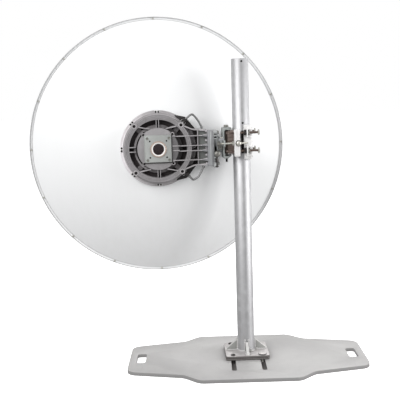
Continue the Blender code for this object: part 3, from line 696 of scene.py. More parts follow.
def hole_shade_black(colour):
    """Near black painted shade for the inside of screw sockets and tapped holes."""
    f = Finish("dark_recess", colour)
    cloud = f.noise(220.0, 4.0, 0.6)
    base = f.mixed(cloud, colour, tint(colour, 1.8))
    return f.surface(base, 0.6 + cloud * 0.2, 0.0, f.relief(cloud, 0.2, 0.0004), Specular_IOR_Level=0.12)


def make_finishes(colours):
    """Every finish of the part, by name."""
    grey = tuple(colours.cast_grey)
    return {
        "dish_white": dish_paint(tuple(colours.dish_white)),
        "cast_grey": cast_paint("cast_grey_paint", grey, (0.15, 0.14, 0.13)),
        "cast_hub": cast_paint(
            "cast_hub_paint",
            grey,
            (0.15, 0.14, 0.13),
            # Painted shade: near black deep in the trough.
            pocket=(0.0748, 0.1004, 0.0120, 0.0380),
            tones_and_light=(
                (0.1176, 1, -2, -1, 1.18),
                # Painted highlight on the flange's outer edge, on the left.
                (0.1232, 1, -0.02, -0.12, 2.1),
                # Painted shade lines at the ring's and the flange's steps.
                (0.1166, 0.1182, -2, -1, 0.50),
                (0.1222, 0.1238, -2, -1, 0.70),
                # Painted shade on the boss's rim, on the right.
                (0.0702, 0.0760, 0.035, 0.048, 0.20),
                (0.1010, 0.1176, -2, -1, 0.84),
                # Painted shade on the right of the boss and of the ledge.
                (0.0460, 0.0735, 0.044, 0.048, 0.50),
                (0.0735, 0.0880, 0.020, 0.045, 0.22),
                # Painted highlight on the ledge, on the left.
                (0.0770, 0.0850, -0.020, -0.045, 1.9),
                (0, 0.0735, -2, -1, 0.90),
            ),
        ),
        # The ribs: the cast grey painted lighter as painted light, painted shade low down between them, a painted
        # highlight towards the arm's end, and darker on the left.
        "cast_ribs_lit": cast_paint(
            "cast_rib_lit_paint",
            tint(grey, 1.22),
            (0.15, 0.14, 0.13),
            pocket=(-1, 1, 0.0150, 0.0375),
            tones_and_light=((0, 1, 0.140, 0.150, 1.55), (0.0500, 0.0900, -0.02, -0.05, 0.80)),
        ),
        "cast_yoke": cast_paint("cast_yoke_paint", (0.36, 0.385, 0.375), (0.12, 0.115, 0.11)),
        "cast_boss": cast_paint("cast_boss_paint", (0.46, 0.48, 0.48), (0.20, 0.19, 0.18)),
        "cast_flange": cast_paint("cast_flange_paint", (0.33, 0.335, 0.35), (0.16, 0.155, 0.15)),
        # A darker copy of the cast grey for the arm's shallow pocket floors: painted shade.
        "cast_shelf_shaded": cast_paint("cast_shelf_paint", (0.20, 0.21, 0.20), (0.08, 0.075, 0.07)),
        "cast_pale": cast_paint("cast_pale_zinc", tuple(colours.clamp_grey), (0.40, 0.38, 0.36), 0.8),
        "cast_dark": cast_paint("cast_dark_block", (0.25, 0.195, 0.170), (0.08, 0.058, 0.048)),
        # Near black for the arm's side webs: painted shade.
        "cast_web": cast_paint("cast_web_shade", (0.030, 0.026, 0.026), (0.01, 0.009, 0.008)),
        "galvanised": galvanised(tuple(colours.galvanised)),
        "gusset_grey": cast_paint("gusset_grey_zinc", (0.40, 0.405, 0.39), (0.22, 0.22, 0.20), 0.7),
        "steel_paint": steel_paint(tuple(colours.plate_grey)),
        "zinc": fastener_zinc("bright_zinc", tuple(colours.zinc), 0.10),
        "zinc_dark": fastener_zinc("dull_zinc", tint(tuple(colours.zinc), 0.42), 0.02),
        "thread": fastener_zinc("brown_thread", (0.21, 0.165, 0.145), 0.12),
        "rod_grey": fastener_zinc("grey_rod", (0.26, 0.26, 0.26), 0.05),
        "black_oxide": black_oxide((0.030, 0.027, 0.026)),
        "foot_steel": foot_steel((0.50, 0.48, 0.475)),
        "milled": milled("milled_aluminium", tuple(colours.milled)),
        "milled_adapter": milled("milled_adapter", tuple(colours.milled), 0.0506),
        "turned_white": milled("turned_face", (0.90, 0.88, 0.86)),
        "copper": turned_copper("turned_copper", tuple(colours.copper), 0.35),
        "bore": bore_shade_lining((0.13, 0.103, 0.106)),
        "plastic": plain_plastic((0.83, 0.83, 0.80)),
        "weld": weld_metal("weld_beads", (0.60, 0.595, 0.59)),
        # A lighter copy of the weld metal for the weld blobs and the gussets' top edges: painted highlight.
        "weld_highlight": weld_metal("weld_highlight_paint", (0.68, 0.675, 0.66)),
        # Near black painted shade for holes and gaps.
        "recess": hole_shade_black((0.007, 0.006, 0.006)),
    }


FINISHES = {}


# ---------------------------------------------------------------- shapes used more than once


def round_edges(obj, width, segments=2, angle=40):
    """Rounds every edge sharper than an angle."""
    return modifier(
        obj,
        "BEVEL",
        width=width,
        segments=segments,
        limit_method="ANGLE",
        angle_limit=math.radians(angle),
        harden_normals=False,
    )


def aimed(start, end):
    """The matrix that takes +Z at the origin to the line from start to end."""
    start, end = Vector(start), Vector(end)
    return Matrix.Translation(start) @ (end - start).to_track_quat("Z", "Y").to_matrix().to_4x4()


def threaded(start, end, radius, pitch=0.0016, sides=20):
    """A threaded rod: its ridges are rings, its ends chamfered."""
    length = (Vector(end) - Vector(start)).length
    turns = max(2, round(length / pitch))
    pitch = length / turns
    profile = [(0, 0), (radius * 0.72, 0)]
    for i in range(turns):
        profile += [(radius * 0.86, pitch * (i + 0.1)), (radius, pitch * (i + 0.5))]
    profile += [(radius * 0.72, length), (0, length)]
    obj = turned(profile[::-1], sides, closed=False)
    return set_into_mesh(obj, aimed(start, end))


def nut(start, end, radius, bore=0.0):
    """A hexagon nut with chamfered corners and, where a bore is given, a thin ring round the bore at its end."""
    length = (Vector(end) - Vector(start)).length
    body = bar((0, 0, 0), (0, 0, length), radius, 6, edge=min(0.0011, radius * 0.12), segments=1)
    collar = bar((0, 0, -0.0002), (0, 0, length + 0.0002), radius * 0.84, 24, edge=0.0002, segments=1)
    obj = join(body, collar)
    if bore:
        ring = turned([(bore, length), (radius * 0.7, length), (radius * 0.7, length + 0.0004), (bore, length + 0.0004)], 24)
        obj = join(obj, ring)
    return set_into_mesh(obj, aimed(start, end))


def washer(start, end, radius):
    return bar(start, end, radius, 28, edge=0.0003, segments=1)


def cap_screw(start, end, radius):
    """A cap screw's round head, with its socket sunk in the end."""
    length = (Vector(end) - Vector(start)).length
    hole = radius * 0.55
    profile = [
        (0, length * 0.35),
        (hole * 0.9, length * 0.35),
        (hole, length * 0.42),
        (hole, length - 0.0002),
        (hole + 0.0003, length),
        (radius - 0.0005, length),
        (radius, length - 0.0005),
        (radius, 0),
        (0, 0),
    ]
    return set_into_mesh(turned(profile, 24, closed=False), aimed(start, end))


def tube(points, radius, corner=0.0, resolution=4, ripple=0.0):
    """A bent rod or weld bead along a line of points, with round corners or a ripple."""
    obj = chain(points)
    if corner:
        rest()
        vertices = obj.data.vertices
        vertices.foreach_set("select", [0 < v.index < len(vertices) - 1 for v in vertices])
        pick(obj)
        bpy.ops.object.mode_set(mode="EDIT")
        bpy.ops.mesh.bevel(offset=corner, segments=6, affect="VERTICES")
    pick(obj)
    bpy.ops.object.convert(target="CURVE")
    curve = obj.data
    curve.bevel_depth = radius
    curve.bevel_resolution = resolution
    curve.use_fill_caps = True
    for spline in curve.splines:
        for i, point in enumerate(spline.points):
            point.radius = 1 + ripple * math.sin(i * 2.1) * (1 + 0.5 * math.sin(i * 0.7))
    bpy.ops.object.convert(target="MESH")
    pick(obj)
    bpy.ops.object.mode_set(mode="EDIT")
    bpy.ops.mesh.select_all(action="SELECT")
    bpy.ops.mesh.remove_doubles(threshold=0.00002)
    bpy.ops.mesh.normals_make_consistent(inside=False)
    rest()
    return obj


def bead(start, end, radius, pieces=14):
    """A weld bead between two points."""
    start, end = Vector(start), Vector(end)
    return tube([start.lerp(end, i / pieces) for i in range(pieces + 1)], radius, ripple=0.22)


def rib(start, end, width, low, high, draft=0.0006, edge=0.0007):
    """A cast rib in the hub's frame, a little thinner at its top."""
    a, b = Vector((*start, 0)), Vector((*end, 0))
    along = (b - a).normalized()
    across = Vector((-along.y, along.x, 0)) * width / 2
    obj = plate([tuple(p)[:2] for p in (a + across, a - across, b - across, b + across)], low, high)
    choose_edges(obj, lambda p, q: abs(p.z - high) < 1e-6 and abs(q.z - high) < 1e-6)
    factor = 1 - 2 * draft / width
    turn = math.atan2(along.y, along.x)
    bpy.ops.transform.resize(
        value=(1, factor, 1),
        orient_matrix=Matrix.Rotation(turn, 3, "Z").transposed(),
        orient_matrix_type="GLOBAL",
        center_override=((a + b) / 2 + Vector((0, 0, high))),
    )
    rest()
    return soften(obj, edge, 2)


def strip(edge_points, width, low, high, rounding=0.0008):
    """A wall along a line of points in the hub's frame; width is to the line's left, or right if negative."""
    far = []
    for i, point in enumerate(edge_points):
        before = Vector(edge_points[max(i - 1, 0)])
        after = Vector(edge_points[min(i + 1, len(edge_points) - 1)])
        along = (after - before).normalized()
        far.append((point[0] - along.y * width, point[1] + along.x * width))
    return plate(list(edge_points) + far[::-1], low, high, rounding)


# ---------------------------------------------------------------- settings


class AntennaSizes(bpy.types.PropertyGroup):
    rim_radius: FloatProperty(
        name="Rim radius", description="Outer radius of the dish's rim", default=0.4683, unit="LENGTH"
    )
    rim_width: FloatProperty(
        name="Rim width", description="Width of the flat rim", default=0.010, unit="LENGTH"
    )
    dish_seat: FloatProperty(
        name="Seat radius", description="Radius of the flat seat under the hub", default=0.120, unit="LENGTH"
    )
    dish_depth: FloatProperty(
        name="Dish depth", description="Depth from the seat to the rim", default=0.142, unit="LENGTH"
    )
    sheet: FloatProperty(
        name="Sheet", description="Thickness of the dish's sheet metal", default=0.002, unit="LENGTH"
    )
    rim_inserts: IntProperty(
        name="Rim inserts", description="Threaded inserts round the rim", default=16, min=4, max=64
    )
    mast_radius: FloatProperty(
        name="Mast radius", description="Outer radius of the pipe", default=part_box("mast_pipe")[1][0], unit="LENGTH"
    )
    mast_wall: FloatProperty(
        name="Mast wall", description="Wall thickness of the pipe", default=0.0039, unit="LENGTH"
    )
    mast_top: FloatProperty(
        name="Mast top", description="Height of the pipe's top", default=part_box("mast_pipe")[1][2], unit="LENGTH"
    )
    plate_thickness: FloatProperty(
        name="Plate thickness",
        description="Thickness of the base plate",
        default=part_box("base_plate")[1][2],
        unit="LENGTH",
    )
    handle_radius: FloatProperty(
        name="Handle radius", description="Radius of the bent handle rods", default=0.0035, unit="LENGTH"
    )


class AntennaColours(bpy.types.PropertyGroup):
    dish_white: FloatVectorProperty(
        name="Dish white", description="Paint of the reflector", default=(0.86, 0.865, 0.87), subtype="COLOR"
    )
    cast_grey: FloatVectorProperty(
        name="Cast grey", description="Paint of the hub and arm", default=(0.36, 0.345, 0.355), subtype="COLOR"
    )
    clamp_grey: FloatVectorProperty(
        name="Clamp grey", description="Pale castings of the clamp", default=(0.88, 0.875, 0.87), subtype="COLOR"
    )
    galvanised: FloatVectorProperty(
        name="Galvanised", description="Zinc coat of the mast", default=(0.52, 0.52, 0.53), subtype="COLOR"
    )
    plate_grey: FloatVectorProperty(
        name="Plate grey", description="Paint of the base plate", default=(0.43, 0.422, 0.42), subtype="COLOR"
    )
    zinc: FloatVectorProperty(
        name="Fastener zinc", description="Plating of the fasteners", default=(0.66, 0.65, 0.60), subtype="COLOR"
    )
    milled: FloatVectorProperty(
        name="Milled aluminium", description="Bare adapter plate", default=(0.45, 0.465, 0.45), subtype="COLOR"
    )
    copper: FloatVectorProperty(
        name="Guide copper", description="Turned waveguide", default=(0.70, 0.55, 0.47), subtype="COLOR"
    )


# ---------------------------------------------------------------- stand


class ANTENNA_OT_base_plate(bpy.types.Operator):
    """The thick steel plate with hand holes and long slots"""

    bl_idname = "antenna.base_plate"
    bl_label = "Base plate"

    def execute(self, context):
        thick = context.scene.antenna_sizes.plate_thickness
        centre_y = -0.0246
        shift = 0.0020
        quarter = arc((0.380, 0.100), 0.040, 0, 77, 12)
        for i in range(15):
            t = i / 14
            ease = (1 - math.cos(math.pi * t)) / 2
            quarter.append((0.240 - 0.085 * t, 0.174 + 0.059 * ease))
        half = quarter + [(-x, y) for x, y in reversed(quarter)]
        outline = half + [(x, -y) for x, y in reversed(half)]
        obj = plate([(x, y + centre_y) for x, y in outline], 0, thick)
        for side in (-1, 1):
            hand = rounded_box_outline(0.033, 0.095, 0.010, 8)
            slot = rounded_box_outline(0.0165, 0.306, 0.00824, 8)
            tools = [
                plate([(x + place, y + centre_y) for x, y in shape], -0.01, thick + 0.01)
                for shape, place in ((hand, side * 0.378), (slot, side * 0.052 + shift))
            ]
            cut(obj, *tools)
        round_edges(obj, 0.0009, 2)
        done(obj, "base_plate_steel", "stand", "steel_paint", ["base_plate"], 30)
        return {"FINISHED"}


class ANTENNA_OT_mast_foot(bpy.types.Operator):
    """Two square foot plates, four welded gussets and their bolts"""

    bl_idname = "antenna.mast_foot"
    bl_label = "Mast foot"

    def execute(self, context):
        sizes = context.scene.antenna_sizes
        low = sizes.plate_thickness + 0.0003
        for name, node in (("foot_lower_layer", "foot_spacer"), ("foot_upper_layer", "foot_plate")):
            layer = plate(rounded_box_outline(0.154, 0.154, 0.010), low, low + 0.0077)
            for x in (-0.052, 0.052):
                for y in (-0.064, 0.064):
                    cut(layer, bar((x, y, low - 0.01), (x, y, low + 0.02), 0.0053, 24))
            round_edges(layer, 0.0008, 2)
            done(layer, name, "stand", "foot_steel", [node], 30, FOOT)
            low += 0.0080
        top = low - 0.0003
        radius = sizes.mast_radius
        reach = radius + 0.0423
        side = [
            (radius + 0.0003, 0.0003),
            (reach, 0.0003),
            (reach, 0.0042),
            (radius + 0.0066, 0.0350),
            (radius + 0.0045, 0.0360),
            (radius + 0.0003, 0.0360),
        ]
        pattern = plate(side, -0.0045, 0.0045, 0.0008)
        set_into_mesh(pattern, Matrix.Translation((0, 0, top)) @ Matrix.Rotation(math.radians(90), 4, "X"))
        for name, turn in (("right", 0), ("back", 90), ("left", 180), ("front", 270)):
            turned_to = FOOT @ Matrix.Rotation(math.radians(turn), 4, "Z")
            gusset = copy(pattern, turned_to)
            done(gusset, f"gusset_{name}_plate", "stand", "gusset_grey", [f"gusset_{name}"])
            beads = [
                bead((radius + 0.001, y, top + 0.0010), (reach - 0.001, y, top + 0.0010), 0.0024, 16)
                for y in (-0.0052, 0.0052)
            ]
            run = 0.0450 if name == "front" else 0.0355
            beads += [
                bead((radius + 0.0006, y, top + 0.002), (radius + 0.0006, y, top + run), 0.0032, 14)
                for y in (-0.0064, 0.0064)
            ]
            # Real weld blobs, in the lighter weld finish as painted highlight.
            spatter = [
                bead((radius + 0.0010, y - 0.001, top + 0.0362), (radius + 0.0010, y + 0.001, top + 0.0362), 0.0030, 4)
                for y in (-0.0050, 0.0050)
            ]
            spatter.append(bead((reach - 0.0005, -0.0050, top + 0.0018), (reach - 0.0005, 0.0050, top + 0.0018), 0.0034, 6))
            spatter.append(bead((radius + 0.0030, -0.0082, top + 0.0030), (radius + 0.0100, -0.0070, top + 0.0022), 0.0038, 6))
            # A bright strip along each gusset's slanted top edge: painted highlight.
            edge = [(radius + 0.0054, top + 0.0362), (reach + 0.0005, top + 0.0048), (reach - 0.0010, top + 0.0040)]
            edge.append((radius + 0.0045, top + 0.0350))
            edge_highlight_strip = plate([(x, z) for x, z in edge], -0.0047, 0.0047, 0.0006)
            set_into_mesh(edge_highlight_strip, Matrix.Rotation(math.radians(90), 4, "X"))
            spatter.append(edge_highlight_strip)
            done(join(*beads), f"gusset_{name}_welds", "stand", "weld", matrix=turned_to)
            done(join(*spatter), f"gusset_{name}_weld_ends", "stand", "weld_highlight", matrix=turned_to)
        pick(pattern)
        bpy.ops.object.delete()
        ring = [(*p, top + 0.0012) for p in arc((0, 0), radius + 0.0006, 0, 360, 72)]
        done(tube(ring, 0.0024, ripple=0.2), "mast_weld", "stand", "weld")
        # A real weld blob, in the lighter weld finish as painted highlight.
        blob = bead((0.0125, -0.0310, top + 0.0024), (0.0200, -0.0270, top + 0.0024), 0.0046, 8)
        done(blob, "mast_weld_blob", "stand", "weld_highlight")
        for front, y in (("front", -0.064), ("back", 0.064)):
            for side, x in (("left", -0.052), ("right", 0.052)):
                head = [
                    (0, 0.0024),
                    (0.0030, 0.0024),
                    (0.0032, 0.0040),
                    (0.0052, 0.0040),
                    (0.0073, 0.0031),
                    (0.0083, 0.0016),
                    (0.0085, 0.0003),
                    (0.0050, 0.0003),
                    (0.0050, -0.0270),
                    (0, -0.0270),
                ]
                bolt = turned(head, 32, closed=False)
                node = f"foot_bolt_{front}_{side}"
                place = FOOT @ Matrix.Translation((x, y, top))
                finish = "zinc" if node == "foot_bolt_front_right" else "black_oxide"
                done(bolt, node + "_button", "stand", finish, [node], matrix=place)
        spot = (0.052, -0.064)
        # The washer is black as painted shade on its rim; its face in the foot's lighter steel is painted light on its
        # top.
        wide = bar((*spot, top + 0.0003), (*spot, top + 0.0034), 0.0142, 40, edge=0.0004)
        done(wide, "foot_washer", "stand", "black_oxide", matrix=FOOT)
        washer_lit_face = bar((*spot, top + 0.0030), (*spot, top + 0.0037), 0.0134, 40, edge=0.0003)
        done(washer_lit_face, "foot_washer_face", "stand", "foot_steel", matrix=FOOT)
        return {"FINISHED"}


class ANTENNA_OT_mast(bpy.types.Operator):
    """The galvanised pipe with two small drilled holes"""

    bl_idname = "antenna.mast"
    bl_label = "Mast"

    def execute(self, context):
        sizes = context.scene.antenna_sizes
        outer, inner, top = sizes.mast_radius, sizes.mast_radius - sizes.mast_wall, sizes.mast_top
        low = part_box("mast_pipe")[0][2]
        profile = [(inner + 0.0004, top), (outer - 0.0006, top), (outer, top - 0.0006)]
        profile += [(outer, low), (inner, low), (inner, top - 0.0004)]
        pipe = turned(profile, 128)
        holes = []
        for z in (1.056, 0.846):
            cut(pipe, bar((0.0044, -0.040, z), (0.0044, 0, z), 0.0036, 20))
            # A near black disc inside each hole: painted shade.
            holes.append(bar((0.0044, -0.0288, z), (0.0044, -0.0264, z), 0.0040, 20))
        done(pipe, "mast_tube", "stand", "galvanised", ["mast_pipe"], 50)
        done(join(*holes), "mast_hole_shades", "stand", "recess", angle=30)
        return {"FINISHED"}


# ---------------------------------------------------------------- clamp and yoke


class ANTENNA_OT_clamp(bpy.types.Operator):
    """Both halves of the clamp, ribbed castings that grip the mast"""

    bl_idname = "antenna.clamp"
    bl_label = "Clamp"

    def execute(self, context):
        grip = context.scene.antenna_sizes.mast_radius + 0.0003
        nose = arc((AZIMUTH_X, 0), 0.0078, 90, 270, 10)
        half = [(-0.050, -0.0225), (-0.0303, -0.0240), (-0.0303, -0.0355), (-0.0115, -0.0355)]
        outline = nose + half + [(x, -y) for x, y in reversed(half)]
        inner = plate(outline, 0.7405, 0.8210, 0.0012)
        ribs = []
        for i in range(6):
            z = 0.7480 + i * 0.0126
            for side in (-1, 1):
                near, far = sorted((side * 0.0215, side * 0.0262))
                ribs.append(block((-0.0500, near, z), (-0.0308, far, z + 0.0036), 0.0008))
        inner = join(inner, *ribs)
        cut(inner, bar((0, 0, 0.70), (0, 0, 0.87), grip, 96))
        done(inner, "clamp_nose", "stand", "cast_dark", ["clamp_block"], matrix=HEAD)
        for side, name in ((-1, "near"), (1, "far")):
            near, far = sorted((side * 0.0345, side * 0.0570))
            post = block((-0.0303, near, 0.732), (-0.0111, far, 0.825), 0.0022, 3)
            shapes = [post]
            for x, width in ((-0.0268, 0.0044), (-0.0211, 0.0030), (-0.0155, 0.0046)):
                near, far = sorted((side * 0.0550, side * 0.0580))
                shapes.append(block((x - width / 2, near, 0.7345), (x + width / 2, far, 0.8225), 0.0009))
            for z in CLAMP_BOLT_ROWS.values():
                shapes.append(bar((-0.0309, side * CLAMP_BOLT_Y, z), (-0.0105, side * CLAMP_BOLT_Y, z), 0.0088, 28, edge=0.0006))
            post = join(*shapes)
            if side < 0:
                cut(post, bar((-0.04, SCREW_Y, SCREW_Z), (0, SCREW_Y, SCREW_Z), 0.0043, 20))
            done(post, f"clamp_post_{name}", "stand", "cast_pale", matrix=HEAD)
        jaw = [
            (0.0045, -0.0365),
            (0.0285, -0.0365),
            (0.0335, -0.0330),
            (0.0350, -0.0270),
            (0.0350, 0.0270),
            (0.0335, 0.0330),
            (0.0285, 0.0365),
            (0.0045, 0.0365),
        ]
        saddle = plate(jaw, 0.721, 0.839, 0.0020, 3)
        shapes = [saddle]
        for low, high in ((0.733, 0.768), (0.797, 0.828)):
            shapes.append(block((0.0120, -0.060, low), (0.0163, 0.060, high), 0.0016))
            for side in (-1, 1):
                near, far = sorted((side * 0.034, side * 0.052))
                for z in (low + 0.003, high - 0.003):
                    shapes.append(block((0.0150, near, z - 0.0018), (0.0300, far, z + 0.0018), 0.0012))
        for z in (0.7300, 0.7560, 0.7825, 0.8090, 0.8300):
            shapes.append(block((0.0300, -0.0350, z - 0.0020), (0.0358, 0.0350, z + 0.0020), 0.0012))
        saddle = join(*shapes)
        cut(saddle, bar((0, 0, 0.70), (0, 0, 0.87), grip, 96))
        done(saddle, "clamp_outer_saddle", "stand", "cast_pale", ["clamp_saddle"], matrix=HEAD)
        # Near black strips in the gaps between the clamp's halves: painted shade.
        outer, inner = grip + 0.0012, grip - 0.0002
        for name, start in (("near", 262), ("far", 70)):
            ring = arc((0, 0), outer, start, start + 28, 12) + arc((0, 0), inner, start + 28, start, 12)
            gap_shade = plate(ring, 0.7410, 0.8200, 0.0003, 1)
            done(gap_shade, f"clamp_gap_shade_{name}", "stand", "recess", matrix=HEAD)
        return {"FINISHED"}


class ANTENNA_OT_clamp_bolts(bpy.types.Operator):
    """The four long bolts of the clamp, with washers and nuts"""

    bl_idname = "antenna.clamp_bolts"
    bl_label = "Clamp bolts"

    def execute(self, context):
        for row, z in CLAMP_BOLT_ROWS.items():
            for side, y in (("near", -CLAMP_BOLT_Y), ("far", CLAMP_BOLT_Y)):
                name = f"clamp_bolt_{row}_{side}"

                def at(x):
                    return (x, y, z)

                shank = join(
                    threaded(at(-0.0580), at(0.0300), 0.0044),
                    bar(at(0.0295), at(0.0530), 0.0040, 24),
                )
                done(shank, name + "_shank", "stand", "thread", [name], 30, HEAD)
                head = nut(at(0.0520), at(0.0568), 0.0104)
                done(head, name + "_head", "stand", "zinc", angle=30, matrix=HEAD)
                # The inner nuts sit in the clamp's shadow: their near black finish is painted shade.
                nuts = join(nut(at(0.0038), at(0.0105), 0.0098), washer(at(0.0103), at(0.0118), 0.0100))
                done(nuts, name + "_inner_nut", "stand", "black_oxide", angle=30, matrix=HEAD)
                nuts = join(washer(at(0.0165), at(0.0178), 0.0100), nut(at(0.0176), at(0.0222), 0.0092))
                done(nuts, name + "_outer_nut", "stand", "zinc_dark", angle=30, matrix=HEAD)
        return {"FINISHED"}


class ANTENNA_OT_yoke(bpy.types.Operator):
    """The C-shaped yoke and the vertical bolt that it swings on"""

    bl_idname = "antenna.yoke"
    bl_label = "Azimuth yoke"

    def execute(self, context):
        low, high = 0.7250, 0.8318
        section = [(-0.0675, low + 0.003), (-0.0645, low), (-0.0500, low + 0.0006), (-0.0390, low + 0.0075)]
        section += [(-0.0375, low + 0.0095), (-0.0375, low + 0.0130), (-0.0500, low + 0.0080), (-0.0585, low + 0.0078)]
        section += [(-0.0622, low + 0.0115), (-0.0622, high - 0.0120), (-0.0590, high - 0.0080)]
        section += [(-0.0370, high - 0.0080), (-0.0362, high - 0.0070), (-0.0362, high - 0.0015), (-0.0378, high)]
        section += [(-0.0648, high), (-0.0675, high - 0.0028)]
        body = plate(section, -0.0308, 0.0308)
        set_into_mesh(body, Matrix.Rotation(math.radians(90), 4, "X"))
        corners = [
            plate([(-0.0525, side * 0.033), (-0.0338, side * 0.0155), (-0.0338, side * 0.033)], 0.70, 0.86)
            for side in (-1, 1)
        ]
        cut(body, *corners)
        round_edges(body, 0.0010, 2, 30)
        hump = bar((AZIMUTH_X, 0, 0.8305), (AZIMUTH_X, 0, 0.8322), 0.0135, 40, 0.0118, 0.0004)
        tab = plate(
            [(y + SCREW_Y, z + SCREW_Z) for y, z in rounded_box_outline(0.0250, 0.0240, 0.0085, 8)], 0.0622, 0.0676, 0.0008
        )
        upright = Matrix(((0, 0, -1, 0), (1, 0, 0, 0), (0, 1, 0, 0), (0, 0, 0, 1)))
        set_into_mesh(tab, upright)
        neck = block((-0.0674, -0.0400, 0.7680), (-0.0624, -0.0270, 0.7885), 0.0008)
        body = join(body, hump, tab, neck)
        cut(body, bar((AZIMUTH_X, 0, 0.70), (AZIMUTH_X, 0, 0.86), 0.0052, 32))
        cut(body, bar((-0.080, SCREW_Y, SCREW_Z), (-0.045, SCREW_Y, SCREW_Z), 0.0085, 32))
        done(body, "yoke_casting", "azimuth_head", "cast_yoke", ["azimuth_yoke"], 35, HEAD)
        pointer = block((-0.0838, -0.0462, 0.7880), (-0.0650, -0.0430, 0.7958), 0.0008)
        done(pointer, "yoke_pointer", "azimuth_head", "cast_flange", angle=35, matrix=HEAD)
        # A bright zinc block on the pointer's top: painted highlight.
        cap = block((-0.0780, -0.0464, 0.7956), (-0.0690, -0.0430, 0.8010), 0.0012)
        done(cap, "yoke_pointer_highlight", "azimuth_head", "zinc", angle=35, matrix=HEAD)
        pivot = join(
            bar((AZIMUTH_X, 0, 0.7240), (AZIMUTH_X, 0, 0.8345), 0.0048, 24),
            washer((AZIMUTH_X, 0, 0.8324), (AZIMUTH_X, 0, 0.8340), 0.0100),
            nut((AZIMUTH_X, 0, 0.8338), (AZIMUTH_X, 0, 0.8402), 0.0088),
        )
        done(pivot, "azimuth_pivot", "stand", "zinc_dark", ["azimuth_pivot_bolt"], 30, HEAD)
        end = join(
            threaded((AZIMUTH_X, 0, 0.7110), (AZIMUTH_X, 0, 0.7270), 0.0038, 0.0012),
            washer((AZIMUTH_X, 0, 0.7232), (AZIMUTH_X, 0, 0.7247), 0.0072),
        )
        done(end, "azimuth_pivot_end", "stand", "black_oxide", angle=30, matrix=HEAD)
        return {"FINISHED"}


class ANTENNA_OT_azimuth_drive(bpy.types.Operator):
    """The horizontal adjusting screw and the round-headed pin that it turns in"""

    bl_idname = "antenna.azimuth_drive"
    bl_label = "Azimuth drive"

    def execute(self, context):
        def at(x):
            return (x, SCREW_Y, SCREW_Z)

        screw = join(
            threaded(at(-0.0890), at(0.0100), 0.0038, 0.0014),
            bar(at(0.0095), at(0.0178), 0.0038, 20, 0.0014, 0.0003, 1),
        )
        done(screw, "azimuth_screw", "stand", "zinc", ["azimuth_adjuster"], 30, HEAD)
        knob = join(
            nut(at(-0.0898), at(-0.0842), 0.0078),
            nut(at(-0.0838), at(-0.0800), 0.0078),
            washer(at(-0.0802), at(-0.0790), 0.0080),
        )
        done(knob, "azimuth_screw_nuts", "stand", "zinc_dark", angle=30, matrix=HEAD)
        jam = nut(at(-0.0370), at(-0.0316), 0.0086)
        done(jam, "azimuth_jam_nut", "stand", "zinc", angle=30, matrix=HEAD)
        dome = [(0, 0.0084), (0.0030, 0.0082), (0.0058, 0.0074), (0.0078, 0.0058), (0.0088, 0.0036), (0.0090, 0.0008)]
        dome += [(0.0088, 0.0002), (0.0045, 0.0002), (0.0045, -0.0060), (0, -0.0060)]
        pin = set_into_mesh(turned(dome, 40, closed=False), aimed((-0.0165, -0.0581, SCREW_Z), (-0.0165, -0.07, SCREW_Z)))
        done(pin, "azimuth_swivel_head", "stand", "zinc", ["azimuth_swivel_pin"], 50, HEAD)
        seal = washer((-0.0165, -0.0578, SCREW_Z), (-0.0165, -0.0590, SCREW_Z), 0.0106)
        done(seal, "azimuth_swivel_seal", "stand", "recess", angle=50, matrix=HEAD)
        return {"FINISHED"}


